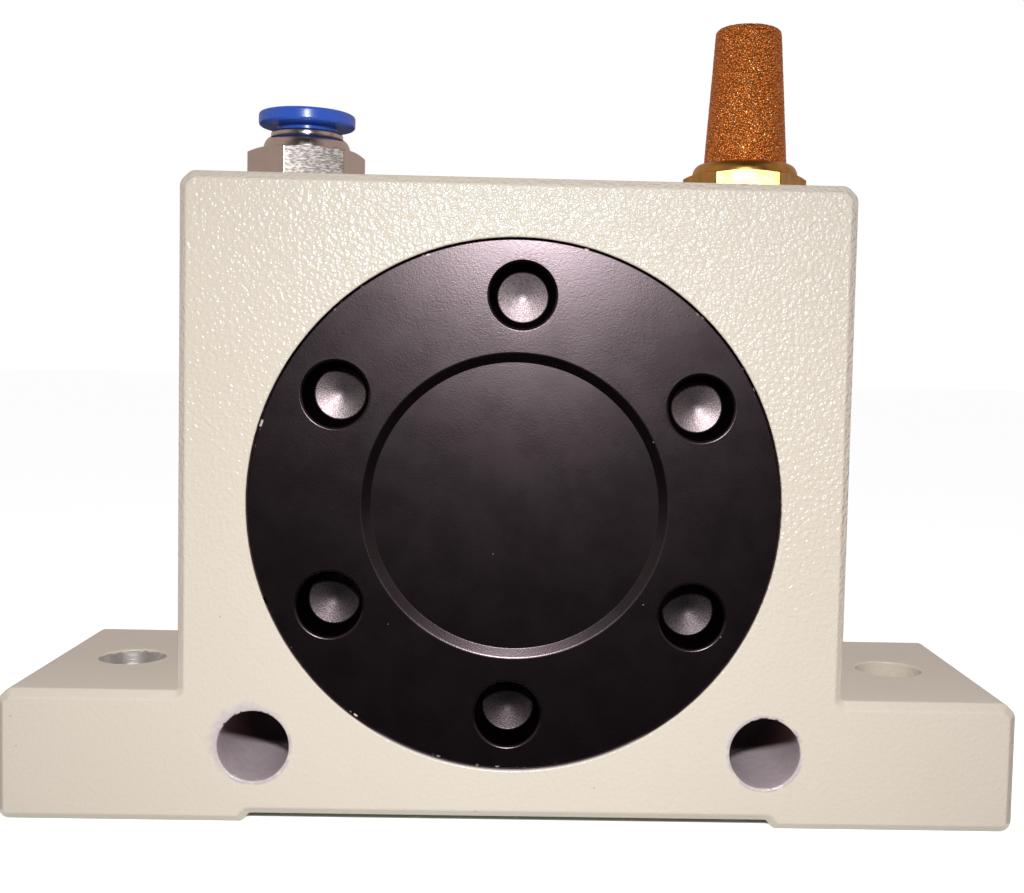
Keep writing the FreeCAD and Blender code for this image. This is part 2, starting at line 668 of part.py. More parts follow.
def make_shaft():
    """Shaft with two bearing journals, a collar and a groove for the rotor, and a keyway."""
    place = on_axis("front", SHAFT_HALF)
    journal = "dims.bearing_bore / 2 - dims.bearing_fit"
    collar = f"{SHAFT_SEAT} + dims.shaft_collar_step"
    groove = f"{SHAFT_SEAT} - dims.circlip_groove_depth"
    journal_length = "(dims.bearing_width - dims.shaft_end_gap)"
    web_start = f"{SHAFT_HALF} - {WEB_HALF}"
    web_end = f"{SHAFT_HALF} + {WEB_HALF}"
    groove_end = f"{web_end} + {CIRCLIP_GROOVE}"
    length = f"2 * {SHAFT_HALF}"
    body = spun("rotor_shaft", [
        ("0", "0"), (journal, "0"), (journal, journal_length), (collar, journal_length),
        (collar, web_start), (SHAFT_SEAT, web_start), (SHAFT_SEAT, web_end), (groove, web_end),
        (groove, groove_end), (SHAFT_SEAT, groove_end), (SHAFT_SEAT, f"{length} - {journal_length}"),
        (journal, f"{length} - {journal_length}"), (journal, length), ("0", length)], place)
    key_floor = f"{SHAFT_SEAT} - dims.key_depth_in_shaft"
    key_half = f"({WEB_HALF} - dims.key_end_gap)"
    key_start = f"{SHAFT_HALF} - {key_half}"

    def key_block(solid):
        """Sizes and place that the key and its slot in the shaft share."""
        solid.setExpression("Length", "dims.key_height")
        solid.setExpression("Width", "dims.key_width")
        solid.setExpression("Height", f"2 * {key_half}")
        solid.setExpression("Placement.Base.x", key_floor)
        solid.setExpression("Placement.Base.y", "-dims.key_width / 2")
        solid.setExpression("Placement.Base.z", key_start)

    key_block(body.newObject("PartDesign::SubtractiveBox", "shaft_keyway"))
    key_block(new_body("rotor_key", place).newObject("PartDesign::AdditiveBox", "key_block"))

    inside = f"{groove} + dims.rotor_fit"
    outside = f"{SHAFT_SEAT} + dims.circlip_stand"
    start = f"{web_end} + dims.circlip_side_gap"
    end = f"{start} + dims.circlip_thickness"
    circlip = spun("rotor_circlip", [
        (inside, start), (outside, start), (outside, end), (inside, end)], place)
    opening = circlip.newObject("PartDesign::SubtractiveBox", "circlip_gap")
    opening.setExpression("Length", "dims.circlip_opening")
    opening.setExpression("Width", outside)
    opening.setExpression("Height", "dims.circlip_thickness")
    opening.setExpression("Placement.Base.x", "-dims.circlip_opening / 2")
    opening.setExpression("Placement.Base.y", f"-({outside})")
    opening.setExpression("Placement.Base.z", start)


def make_inlet_fitting():
    """Push-in fitting: plated body, guide ring, release collar, grab ring, backing ring and seal."""
    place = on_top(f"-{INLET_OFFSET}", "dims.fitting_turn")
    corner, top, drop = hexagon_top("dims.fitting_hex", "dims.fitting_hex_bevel")
    insert_bore = "dims.inner_bore_diameter / 2"
    passage = "dims.air_passage_diameter / 2"
    body = spun("inlet_body", [
        (passage, "0"), (f"{SHANK_RADIUS} - dims.thread_chamfer", "0"),
        (SHANK_RADIUS, "dims.thread_chamfer"), (SHANK_RADIUS, "dims.shank_length"),
        (corner, "dims.shank_length"), (corner, f"{INLET_CONE} - {drop}"), (top, INLET_CONE),
        (f"{MOUTH_RADIUS} + dims.fitting_cone_flare", INLET_CONE),
        (MOUTH_RADIUS, INLET_RIM), (insert_bore, INLET_RIM),
        (insert_bore, INLET_SEAL), (TUBE_BORE, INLET_SEAL), (TUBE_BORE, "dims.tube_seat_height"),
        (passage, "dims.tube_seat_height")], place)
    hexagon(body, "inlet_flats", "dims.fitting_hex", "dims.shank_length", "dims.fitting_hex_height")

    spun("inlet_tube_seal", [
        (TUBE_BORE, INLET_SEAL), (INSERT_RADIUS, INLET_SEAL), (INSERT_RADIUS, INLET_BACKING),
        (TUBE_BORE, INLET_BACKING)], place)

    rim_inside = f"{INSERT_RADIUS} - dims.grab_ring_rim"
    tooth_tip = f"{INLET_GRAB} - dims.grab_ring_drop"
    spun("inlet_backing_ring", [
        (TUBE_BORE, INLET_BACKING), (INSERT_RADIUS, INLET_BACKING), (INSERT_RADIUS, INLET_GRAB),
        (rim_inside, INLET_GRAB), (TUBE_BORE, f"{tooth_tip} - dims.grab_gap")], place)
    grab = spun("inlet_grab_ring", [
        (TUBE_BORE, tooth_tip), (rim_inside, INLET_GRAB), (INSERT_RADIUS, INLET_GRAB),
        (INSERT_RADIUS, INLET_SLEEVE), (rim_inside, INLET_SLEEVE),
        (TUBE_BORE, f"{tooth_tip} + dims.grab_ring_rim")], place)
    sketch = new_sketch(grab, "grab_slot_outline", "XY_Plane", INLET_BACKING)
    half_slot = "dims.grab_slot_width / 2"
    slot_start = f"{TUBE_BORE} - dims.grab_slot_width"
    slot_end = f"{rim_inside} - dims.grab_slot_width"
    outline(sketch, [(slot_start, f"-{half_slot}"), (slot_end, f"-{half_slot}"),
                     (slot_end, half_slot), (slot_start, half_slot)])
    slot = milled(grab, "grab_slot", sketch, f"{INLET_SLEEVE} - {INLET_BACKING}")
    repeated(grab, slot, "dims.grab_slot_count")

    lip_bore = f"{COLLAR_NECK} + dims.collar_gap"
    lip_bottom = f"{INLET_TOP} - dims.guide_lip_height"
    rim = f"{MOUTH_RADIUS} + dims.guide_rim_step"
    spun("inlet_guide_ring", [
        (SLEEVE_BORE, INLET_SLEEVE), (INSERT_RADIUS, INLET_SLEEVE), (INSERT_RADIUS, INLET_RIM),
        (rim, INLET_RIM), (rim, INLET_TOP), (lip_bore, INLET_TOP), (lip_bore, lip_bottom),
        (SLEEVE_BORE, lip_bottom)], place)

    bead_bottom = f"{COLLAR_BEAD_TOP} - dims.collar_bead_height"
    nose = f"{COLLAR_NECK} - dims.collar_nose_step"
    nose_end = f"{INLET_SLEEVE} + dims.collar_nose_gap"
    flange = "dims.collar_flange_diameter / 2"
    flange_top = f"{COLLAR_FLANGE} + dims.collar_flange_height"
    collar = spun("inlet_release_collar", [
        (TUBE_BORE, nose_end), (nose, nose_end), (nose, f"{bead_bottom} - dims.collar_bead_step"),
        (COLLAR_BEAD, bead_bottom), (COLLAR_BEAD, COLLAR_BEAD_TOP), (COLLAR_NECK, COLLAR_BEAD_TOP),
        (COLLAR_NECK, COLLAR_FLANGE), (flange, COLLAR_FLANGE), (flange, flange_top),
        (f"{TUBE_BORE} + dims.collar_lead_in", flange_top),
        (TUBE_BORE, f"{flange_top} - dims.collar_lead_in")], place)

    def flange_edge(points):
        """Round edges at the outside of the flange."""
        return all_at_radius(points, value(flange)) and all_at(points, 2, points[0].z)

    eased(collar, "Fillet", "collar_rounding", "dims.collar_rounding", flange_edge)


def make_silencer():
    """Exhaust silencer: brass hexagon with a domed shoulder and a hollow sintered cone."""
    place = on_top(EXHAUST_OFFSET, "dims.silencer_turn")
    corner, top, drop = hexagon_top("dims.silencer_hex", "dims.silencer_hex_bevel")
    bore = "dims.silencer_bore_diameter / 2"
    hex_top = "(dims.shank_length + dims.silencer_hex_height)"
    seat = f"({hex_top} + dims.silencer_dome_height)"
    dome_top = f"({ELEMENT_BASE} + dims.silencer_dome_land)"
    dome_middle = f"({dome_top} + ({top} - {dome_top}) * cos(45))"
    dome_rise = f"{hex_top} + dims.silencer_dome_height * sin(45)"
    spigot_bottom = f"{seat} - dims.element_spigot_height"
    body = spun("silencer_body", [
        (bore, "0"), (f"{SHANK_RADIUS} - dims.thread_chamfer", "0"),
        (SHANK_RADIUS, "dims.thread_chamfer"), (SHANK_RADIUS, "dims.shank_length"),
        (corner, "dims.shank_length"), (corner, f"{hex_top} - {drop}"), (top, hex_top),
        (dome_middle, dome_rise), (dome_top, seat), (SPIGOT_RADIUS, seat),
        (SPIGOT_RADIUS, spigot_bottom), (bore, spigot_bottom)], place)
    hexagon(body, "silencer_flats", "dims.silencer_hex", "dims.shank_length", "dims.silencer_hex_height")

    tip = "dims.element_top_diameter / 2"
    end = f"{seat} + dims.element_height"
    crown = f"{end} - dims.element_crown"
    plug = f"{SPIGOT_RADIUS} - dims.insert_gap"
    mouth = f"{plug} - dims.element_wall"
    element = spun("silencer_element", [
        (mouth, spigot_bottom), (plug, spigot_bottom), (plug, seat), (ELEMENT_BASE, seat), (tip, end),
        ("0", end), ("0", crown), (f"{tip} - dims.element_wall", crown),
        (f"{ELEMENT_BASE} - dims.element_wall", f"{seat} + dims.element_wall"), (mouth, seat)], place)

    def tip_edge(points):
        """Round edge at the top of the cone."""
        return all_at_radius(points, value(tip)) and all_at(points, 2, value(end))

    eased(element, "Fillet", "element_rounding", "dims.element_rounding", tip_edge)


def check_document():
    """Stop if any object failed, any cut removed nothing or any piece is not a sound solid."""
    doc.recompute()
    for item in doc.Objects:
        if "Invalid" in item.State or "Error" in item.State:
            raise RuntimeError(f"{item.Label} failed: {item.State}")
        if item.TypeId.startswith(CUTS) and item.Shape.Volume >= item.BaseFeature.Shape.Volume:
            raise RuntimeError(f"{item.Label} cuts nothing")
    for label, piece in pieces.items():
        if piece.Shape.isNull() or not piece.Shape.isValid() or not piece.Shape.Solids:
            raise RuntimeError(f"{label} is not a sound solid")


make_housing()
for face in ("front", "rear"):
    make_cover(face)
    make_cover_seal(face)
    make_bearing(face)
make_shim()
make_rotor()
make_shaft()
make_inlet_fitting()
make_silencer()
check_document()

os.makedirs("parts", exist_ok=True)
for label, piece in pieces.items():
    piece.Shape.exportStep(f"parts/{label}.step")
    print(label, len(piece.Shape.Solids), "solids", round(piece.Shape.Volume, 2), "mm3")
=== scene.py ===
"""Looks of a pneumatic vibration motor: coated block, screwed covers, inlet fitting and silencer."""

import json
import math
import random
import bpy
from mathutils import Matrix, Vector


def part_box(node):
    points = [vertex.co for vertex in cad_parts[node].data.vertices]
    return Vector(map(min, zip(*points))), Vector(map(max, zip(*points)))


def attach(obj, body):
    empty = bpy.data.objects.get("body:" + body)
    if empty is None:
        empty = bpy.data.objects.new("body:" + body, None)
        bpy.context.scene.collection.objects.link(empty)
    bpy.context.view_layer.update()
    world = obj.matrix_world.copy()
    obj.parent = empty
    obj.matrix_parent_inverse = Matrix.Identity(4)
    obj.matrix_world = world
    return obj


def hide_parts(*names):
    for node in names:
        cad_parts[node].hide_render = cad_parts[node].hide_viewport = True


bl_info = {
    "name": "Pneumatic Vibration Motor",
    "version": (1, 0, 0),
    "blender": (4, 5, 0),
    "location": "3D View > Sidebar > Motor",
    "description": "Builds the visible pieces and finishes of a pneumatic vibration motor",
    "category": "Object",
}

import bmesh
import bpy
from mathutils import Matrix, Vector
from mathutils.kdtree import KDTree

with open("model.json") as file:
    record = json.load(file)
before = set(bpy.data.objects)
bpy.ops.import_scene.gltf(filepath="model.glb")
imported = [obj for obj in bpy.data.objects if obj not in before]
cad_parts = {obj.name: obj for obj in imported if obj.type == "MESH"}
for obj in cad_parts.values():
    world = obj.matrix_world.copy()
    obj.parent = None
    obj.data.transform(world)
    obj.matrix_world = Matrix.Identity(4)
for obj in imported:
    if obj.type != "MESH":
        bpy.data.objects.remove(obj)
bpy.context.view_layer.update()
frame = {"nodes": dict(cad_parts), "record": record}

MM = 0.001

# Places that the frame gives
HOUSING_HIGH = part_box("housing")[1]
COVER_LOW, COVER_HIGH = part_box("front_cover")
COLLAR_LOW, COLLAR_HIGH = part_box("inlet_release_collar")
GUIDE_LOW, GUIDE_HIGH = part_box("inlet_guide_ring")
ELEMENT_LOW, ELEMENT_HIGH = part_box("silencer_element")
SILENCER_LOW, SILENCER_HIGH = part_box("silencer_body")
INLET_LOW, INLET_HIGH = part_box("inlet_body")
MOUNTS = {mount["name"]: mount for mount in frame["record"]["mounts"]}
FOOT_HOLES = MOUNTS["foot_holes"]["dims"]
CROSS_HOLES = MOUNTS["cross_holes"]["dims"]
TUBE_BORE = MOUNTS["tube_socket"]["dims"]["r_mm"] * MM

HALF_LENGTH = HOUSING_HIGH.x
HALF_DEPTH = HOUSING_HIGH.y
BLOCK_TOP = HOUSING_HIGH.z
AXIS_HEIGHT = (COVER_LOW.z + COVER_HIGH.z) / 2
COVER_RADIUS = (COVER_HIGH.z - COVER_LOW.z) / 2
COVER_FACE = -COVER_LOW.y
BOSS_END = -COVER_HIGH.y
FOOT_HOLE_X = FOOT_HOLES["spacing_x_mm"] / 2 * MM
FOOT_HOLE_RADIUS = FOOT_HOLES["hole_r_mm"] * MM
CROSS_HOLE_X = CROSS_HOLES["spacing_x_mm"] / 2 * MM
CROSS_HOLE_Z = MOUNTS["cross_holes"]["pos_m"][2]
CROSS_HOLE_RADIUS = CROSS_HOLES["hole_r_mm"] * MM
INLET_X = (INLET_LOW.x + INLET_HIGH.x) / 2
SILENCER_X = (SILENCER_LOW.x + SILENCER_HIGH.x) / 2

# Mesh fineness
SMOOTH_ANGLE = math.radians(32)
CROWN_STEPS = 8
LARGE_RING = 256
HOLE_RING = 96
SMALL_RING = 128
EASE_STEPS = 5
ARC_STEPS = 10
OVERSHOOT = 2 * MM
OVERLAP = 1 * MM
LEAST_RADIUS = 0.02 * MM

# Half a thread's crest as a share of its pitch, and shares of the size of a sintered grain
THREAD_CREST = 0.15
GRAIN_COVER = 1.2
GRAIN_REACH = 0.75
LEAST_GRAIN = 0.75

# Widths in millimetres where the coat ends at a hole
RIM_BAND = 1.5
COAT_END = 0.12

# Camera and background
SENSOR_WIDTH = 36
WHITE = (1.0, 1.0, 1.0, 1.0)


def length(name, description, millimetres):
    """Length property of a piece, its default given in millimetres."""
    return bpy.props.FloatProperty(
        name=name, description=description, default=millimetres * MM, min=0.0, unit="LENGTH", precision=5)


def angle(name, description, degrees):
    """Angle property of a piece, its default given in degrees."""
    return bpy.props.FloatProperty(
        name=name, description=description, default=math.radians(degrees), unit="ROTATION", subtype="ANGLE")


def colour(name, description, red, green, blue):
    """Colour property of a finish."""
    return bpy.props.FloatVectorProperty(
        name=name, description=description, default=(red, green, blue, 1.0), size=4, min=0.0, max=1.0,
        subtype="COLOR")


def level(name, description, amount):
    """Plain number property of the light."""
    return bpy.props.FloatProperty(name=name, description=description, default=amount, min=0.0)


def position(name, description, *metres):
    """Place property, its default given in metres."""
    return bpy.props.FloatVectorProperty(
        name=name, description=description, default=metres, size=3, subtype="TRANSLATION", unit="LENGTH")


class MotorHousingSizes(bpy.types.PropertyGroup):
    """Sizes of the coated block."""

    block_width: length("Block width", "Width of the block above the feet", 103)
    foot_height: length("Foot height", "Height of the feet", 20.5)
    corner_cut: length("Corner cut", "Chamfer of the upper corners of the block and feet", 1.7)
    sole_cut: length("Sole cut", "Chamfer of the lower corners of the feet", 1.1)
    corner_ease: length("Corner ease", "Rounding that the coat gives the cut corners", 1.7)
    inside_radius: length("Inside radius", "Coat left in the corner between block and foot", 0.5)
    edge_chamfer: length("Edge chamfer", "Chamfer round the front and rear outlines", 1.25)
    edge_ease: length("Edge ease", "Rounding that the coat gives the chamfer edges", 0.6)
    relief_length: length("Relief length", "Length of the relief under the block", 80.5)
    relief_height: length("Relief height", "Height of the relief under the block", 1.35)
    seat_radius: length("Seat radius", "Radius of the cover seats", 41)
    seat_depth: length("Seat depth", "Depth of the cover seats", 9)
    chamber_radius: length("Chamber radius", "Radius of the rotor chamber", 37)
    rim_ease: length("Rim ease", "Rounding of hole and seat rims", 0.3)
    rub_shift: length("Rub shift", "How far up and left of the left cross hole the rubbed coat lies", 0.8)
    rub_ragged: length("Rub ragged", "Unevenness of the rubbed coat's outline", 1.2)
    rub_inner: length("Rub inner", "Distance from the cross hole up to which the coat is rubbed", 0.2)
    rub_outer: length("Rub outer", "Distance from the cross hole at which the rubbed coat ends", 1.6)
    lip_inner: length("Lip inner", "Half width of the fully worn lip round a cross hole", 0.15)
    lip_outer: length("Lip outer", "Half width at which the worn lip ends", 0.4)
    port_radius: length("Port radius", "Radius of the two air ports", 6.58)
    port_depth: length("Port depth", "Depth of the two air ports", 12)
    nozzle_radius: length("Nozzle radius", "Radius of the drilling from the inlet port", 2.5)
    exhaust_radius: length("Exhaust radius", "Radius of the drilling to the exhaust port", 5)
    drill_end: length("Drill end", "Height at which the drillings end above the axis", 2)


class MotorCoverSizes(bpy.types.PropertyGroup):
    """Sizes of the two screwed covers."""

    thickness: length("Thickness", "Thickness of a cover at its rim", 8.4)
    edge_chamfer: length("Edge chamfer", "Chamfer round the outside of a cover", 0.2)
    edge_ease: length("Edge ease", "Rounding of the outer edges", 0.12)
    recess_radius: length("Recess radius", "Radius of the shallow recess at its rim", 23.5)
    recess_slope: length("Recess slope", "Width of the sloping wall of the recess", 1.4)
    recess_depth: length("Recess depth", "Depth of the recess", 0.7)
    recess_crown: length("Recess crown", "Rise of the recess floor towards its middle", 0.2)
    recess_ease: length("Recess ease", "Rounding of the rim of the recess", 0.9)
    recess_corner: length("Recess corner", "Rounding of the inner corner of the recess", 0.2)
    boss_radius: length("Boss radius", "Outside of the bearing boss", 19)
    pocket_radius: length("Pocket radius", "Radius of the bearing pocket", 16.02)
    web: length("Web", "Thickness between the recess and the bearing pocket", 3.3)
    hole_circle: length("Hole circle", "Radius of the circle of spanner holes", 32.25)
    hole_mouth: length("Hole mouth", "Radius of a spanner hole at its mouth", 5.1)
    hole_floor: length("Hole floor", "Radius of a spanner hole at its floor", 4.0)
    hole_depth: length("Hole depth", "Depth of a spanner hole at its wall", 5.8)
    hole_tip: length("Hole tip", "Depth of the conical floor below the wall", 0.5)
    dimple_radius: length("Dimple radius", "Radius of the drill dimple in the floor", 0.75)
    dimple_depth: length("Dimple depth", "Depth of the drill dimple", 0.15)
    hole_ease: length("Hole ease", "Rounding of the spanner hole mouths", 0.35)
    floor_ease: length("Floor ease", "Rounding between the wall and the floor of a spanner hole", 0.25)
    floor_edge: length("Floor edge", "Height above the floor at which the bright floor is full", 0.05)
    # Painted shade: the black wall of a spanner hole reflects nothing and stands in for the shade in the
    # hole.
    wall_start: length("Wall start", "Depth at which the black wall of a spanner hole begins", 0.1)
    wall_full: length("Wall full", "Depth at which the wall of a spanner hole is fully black", 0.5)
    wear_width: length("Wear width", "Width of the worn band at the edge of a cover", 0.5)
    wear_full: length("Wear full", "Width of the band that is worn most", 0.3)
    holes: bpy.props.IntProperty(
        name="Holes", description="Number of spanner holes", default=6, min=3, max=12)
    clocking: angle("Clocking", "Direction of the first spanner hole from the right", 29)


class MotorInletSizes(bpy.types.PropertyGroup):
    """Sizes of the push-in inlet fitting."""

    flats: length("Flats", "Hexagon across flats", 17)
    turn: angle("Turn", "Direction of a hexagon corner from the right", 17.1)
    hexagon_height: length("Hexagon height", "Height of the hexagon above the block", 6.4)
    flat_ease: length("Flat ease", "Rounding of the hexagon edges", 0.3)
    bevel: angle("Bevel", "Slope of the turned bevel on the hexagon corners", 18)
    crown_inset: length("Crown inset", "How far the turned top lies inside the flats", 0.2)
    cone_radius: length("Cone radius", "Radius at the foot of the conical shoulder", 7.2)
    cone_height: length("Cone height", "Height of the conical shoulder", 2.2)
    mouth_radius: length("Mouth radius", "Radius of the body at its mouth", 5.8)
    insert_bore: length("Insert bore", "Radius of the bore that holds the guide ring", 5.4)
    socket_depth: length("Socket depth", "Height of the tube seat above the lower end of the body", 9.5)
    seat_height: length("Seat height", "Height of the tube stop above the lower end of the body", 5)
    passage_radius: length("Passage radius", "Radius of the air passage", 2.2)
    shank_radius: length("Shank radius", "Radius of the threaded shank", 6.48)
    thread_pitch: length("Thread pitch", "Pitch of the shank threads", 1.337)
    thread_depth: length("Thread depth", "Depth of the shank threads", 0.5)
    thread_chamfer: length("Thread chamfer", "Chamfer at the lower end of the shank", 0.8)
    thread_end: length("Thread end", "Plain length between the threads and the hexagon", 1)
    small_ease: length("Small ease", "Rounding of the small edges of the body and guide ring", 0.15)
    collar_nose: length("Collar nose", "Radius of the collar at its lower end", 4)
    collar_nose_ease: length("Collar nose ease", "Rounding of the nose and of the mouth's edge", 0.2)
    collar_neck_ease: length("Collar neck ease", "Rounding between the neck and the flange", 0.35)
    collar_lead_ease: length("Collar lead ease", "Rounding at the inner end of the lead-in", 0.3)
    collar_bead_lead: length("Collar bead lead", "Height of the cone below the bead", 0.25)
    collar_neck: length("Collar neck", "Radius of the collar below its flange", 4.73)
    collar_flange_height: length("Collar flange height", "Height of the collar flange", 2.2)
    collar_ease: length("Collar ease", "Rounding of the collar flange", 0.5)
    collar_lead: length("Collar lead", "Lead-in at the mouth of the collar", 0.6)
    collar_bead: length("Collar bead", "Radius of the bead that holds the collar in", 5.03)
    collar_bead_height: length("Collar bead height", "Height of the bead", 0.85)
    guide_wall_bore: length("Guide bore", "Bore of the guide ring below its lip", 5.08)
    guide_lip_height: length("Guide lip height", "Height of the guide ring lip", 1.5)
    guide_ease: length("Guide ease", "Rounding of the outer edge of the bright rim", 0.45)
    insert_fit: length("Insert fit", "Gap between the guide ring and its bore", 0.02)
    guide_rim_height: length("Guide rim height", "Height of the bright rim of the guide ring", 1)
    fit: length("Fit", "Gap between sliding pieces", 0.1)


class MotorSilencerSizes(bpy.types.PropertyGroup):
    """Sizes of the exhaust silencer."""

    flats: length("Flats", "Hexagon across flats", 18)
    turn: angle("Turn", "Direction of a hexagon corner from the right", -5.6)
    hexagon_height: length("Hexagon height", "Height of the hexagon above the block", 4.2)
    dome_height: length("Dome height", "Height of the domed shoulder", 1.8)
    dome_land: length("Dome land", "Land of the dome outside the element", 0.45)
    bore_radius: length("Bore radius", "Radius of the air passage", 4)
    spigot_radius: length("Spigot radius", "Radius of the seat of the element in the body", 5.5)
    spigot_height: length("Spigot height", "Depth to which the element sits in the body", 2)
    element_base: length("Element base", "Radius of the sintered cone at its foot", 6.95)
    element_tip: length("Element tip", "Radius of the sintered cone at its tip", 5.475)
    element_ease: length("Element ease", "Rounding at the tip of the cone", 0.9)
    grain: length("Grain", "Size of the sintered grains", 0.42)
    grain_relief: length("Grain relief", "How far the grains stand out of the cone", 0.13)
    grain_seed: bpy.props.IntProperty(name="Grain seed", description="Seed of the grain places", default=7)


class MotorFinishes(bpy.types.PropertyGroup):
    """Colours of the finishes."""

    coat: colour("Coat", "Cream powder coat", 0.74, 0.68, 0.575)
    coat_sheen: colour("Coat sheen", "Tint of the sheen on the coat", 0.52, 0.82, 1.0)
    coat_grime: colour("Coat grime", "Dust rubbed into the coat", 0.52, 0.43, 0.35)
    coat_rub: colour("Coat rub", "Rubbed coat beside a cross hole", 0.58, 0.52, 0.55)
    bare: colour("Bare metal", "Machined aluminium where the coat ends", 0.84, 0.72, 0.76)
    reamed: colour("Reamed metal", "Bright aluminium in the left foot hole", 0.97, 0.94, 0.92)
    # Painted shade: this dark tone stands in for the shade deep in the cross holes and along their upper
    # side.
    bare_painted_shade: colour("Bare shade", "Oil stain deep in the cross holes", 0.22, 0.125, 0.12)
    anodised: colour("Anodised", "Black anodised covers", 0.0018, 0.0008, 0.0014)
    anodised_sheen: colour("Anodised sheen", "Tint of the sheen on the covers", 1.0, 0.79, 0.87)
    cover_wear: colour("Cover wear", "Worn spots at the edge of the covers", 0.75, 0.70, 0.64)
    hole_floor: colour("Hole floor", "Machined floors of the spanner holes", 0.29, 0.237, 0.251)
    dust: colour("Dust", "Dust and worn spots on dark pieces", 0.30, 0.27, 0.26)
    nickel: colour("Nickel", "Nickel plate", 0.66, 0.61, 0.58)
    plastic: colour("Plastic", "Blue moulded plastic", 0.035, 0.13, 0.66)
    brass: colour("Brass", "Turned brass", 0.68, 0.38, 0.10)
    bronze: colour("Bronze", "Sintered bronze", 0.97, 0.295, 0.055)
    # Painted glints: a few grains of the bronze are given this bright tone in place of glints.
    bronze_painted_glint: colour("Bronze glint", "Brightest grains of the sintered bronze", 1.0, 0.72, 0.38)
    steel: colour("Steel", "Turned and ground steel", 0.56, 0.55, 0.54)
    rubber: colour("Rubber", "Seal rubber", 0.018, 0.018, 0.019)


class MotorStage(bpy.types.PropertyGroup):
    """Floor, light and camera."""

    floor_radius: length("Floor radius", "Radius of the round floor", 6000)
    floor_colour: colour("Floor colour", "Pale floor", 0.84, 0.94, 0.90)
    floor_bounce: colour("Floor bounce", "Floor as the motor is lit by it", 0.62, 0.59, 0.56)
    floor_glow: level("Floor glow", "White that the camera sees besides the lit floor", 0.65)
    shade_edge: length("Shade edge", "How far in under the motor the shade begins", 4)
    sky_colour: colour("Sky colour", "Soft light from all round", 1.0, 0.88, 0.925)
    sky_strength: level("Sky strength", "Level of the soft light from all round", 0.40)
    sky_front: level("Front sky", "Share of the soft light that comes from the front", 0.12)
    sky_behind: level("Sky behind", "Level of the low light from behind the motor", 0.9)
    wall_colour: colour("Wall colour", "Studio wall that bright metal mirrors", 0.48, 0.375, 0.335)
    ceiling_colour: colour("Ceiling colour", "Studio ceiling that bright metal mirrors", 0.10, 0.07, 0.055)
    wall_front_colour: colour("Front wall colour", "Studio wall behind the camera", 0.02, 0.015, 0.016)
    wall_radius: length("Wall radius", "Distance of the studio wall", 900)
    wall_height: length("Wall height", "Height of the studio wall", 1900)
    table_colour: colour("Table colour", "Dark table that gloss mirrors", 0.010, 0.007, 0.008)
    table_gap: length("Table gap", "Gap between the dark table and the feet", 1.5)
    table_lift: length("Table lift", "Height of the dark table above the floor", 0.5)
    flash_power: level("Flash power", "Power of the small lamp above the lens in watts", 0.271)
    flash_size: length("Flash size", "Diameter of the small lamp above the lens", 14)
    flash_spread: angle("Flash spread", "Angle over which the small lamp spreads its light", 120)
    flash_drop: length("Flash drop", "How far below the feet the small lamp is aimed", 30)
    flash_place: position("Flash place", "Place of the small lamp", 0.002, -0.247, 0.139)
    camera_place: position("Camera place", "Place of the lens", 0.001732, -0.216687, 0.071796)
    camera_pitch: angle("Camera pitch", "How far the camera looks down", 3.318)
    camera_roll: angle("Camera roll", "Roll of the camera about its line of sight", 1.238)
    camera_yaw: angle("Camera yaw", "Turn of the camera to the right", 1.18)
    camera_lens: bpy.props.FloatProperty(
        name="Camera lens", description="Focal length on a 36 mm wide sensor", default=44.74, unit="CAMERA")
    camera_shift: bpy.props.FloatVectorProperty(
        name="Camera shift", description="Shift of the photograph's frame", size=2,
        default=(-0.042, -0.008))


# Paths and meshes

def rounded(corners, closed=False):
    """Points of a path whose corners (x, y, radius) are rounded by arcs of that radius."""
    points = []
    for number, (x, y, radius) in enumerate(corners):
        here = Vector((x, y))
        at_end = not closed and number in (0, len(corners) - 1)
        if radius == 0 or at_end:
            points.append(here)
            continue
        after = corners[(number + 1) % len(corners)]
        back = (Vector(corners[number - 1][:2]) - here).normalized()
        ahead = (Vector(after[:2]) - here).normalized()
        half_turn = (math.pi - back.angle(ahead)) / 2
        reach = radius * math.tan(half_turn)
        weight = math.cos(half_turn)
        start, end = here + back * reach, here + ahead * reach
        for step in range(EASE_STEPS + 1):
            share = step / EASE_STEPS
            first, middle, last = (1 - share) ** 2, 2 * weight * share * (1 - share), share ** 2
            points.append((start * first + here * middle + end * last) / (first + middle + last))
    return points


def inset(corners, distance):
    """The same closed outline, anticlockwise, with every edge moved inwards by a distance."""
    moved = []
    for number, (x, y, radius) in enumerate(corners):
        here = Vector((x, y))
        into = (here - Vector(corners[number - 1][:2])).normalized()
        out = (Vector(corners[(number + 1) % len(corners)][:2]) - here).normalized()
        left_in, left_out = Vector((-into.y, into.x)), Vector((-out.y, out.x))
        place = here + (left_in + left_out) * distance / (1 + left_in.dot(left_out))
        outward = into.cross(out) > 0
        eased = radius - distance if outward else radius + distance
        moved.append((place.x, place.y, max(eased, LEAST_RADIUS)))
    return moved


def bridge(bm, first, second):
    """Quads between two closed loops of as many vertices."""
    for number in range(len(first)):
        after = (number + 1) % len(first)
        bm.faces.new((first[number], first[after], second[after], second[number]))


def turned(bm, profile, place, segments, closed=False):
    """Spin a profile of (radius, height) points about the local Z axis of a place."""
    rings = []
    for radius, height in profile:
        if radius < LEAST_RADIUS:
            rings.append([bm.verts.new(place @ Vector((0, 0, height)))])
            continue
        turns = (2 * math.pi * step / segments for step in range(segments))
        rings.append([bm.verts.new(place @ Vector((radius * math.cos(t), radius * math.sin(t), height)))
                      for t in turns])
    pairs = list(zip(rings, rings[1:]))
    if closed:
        pairs.append((rings[-1], rings[0]))
    for first, second in pairs:
        if len(first) == 1 or len(second) == 1:
            pole, ring = (first[0], second) if len(first) == 1 else (second[0], first)
            for number in range(len(ring)):
                bm.faces.new((pole, ring[number], ring[(number + 1) % len(ring)]))
        else:
            bridge(bm, first, second)


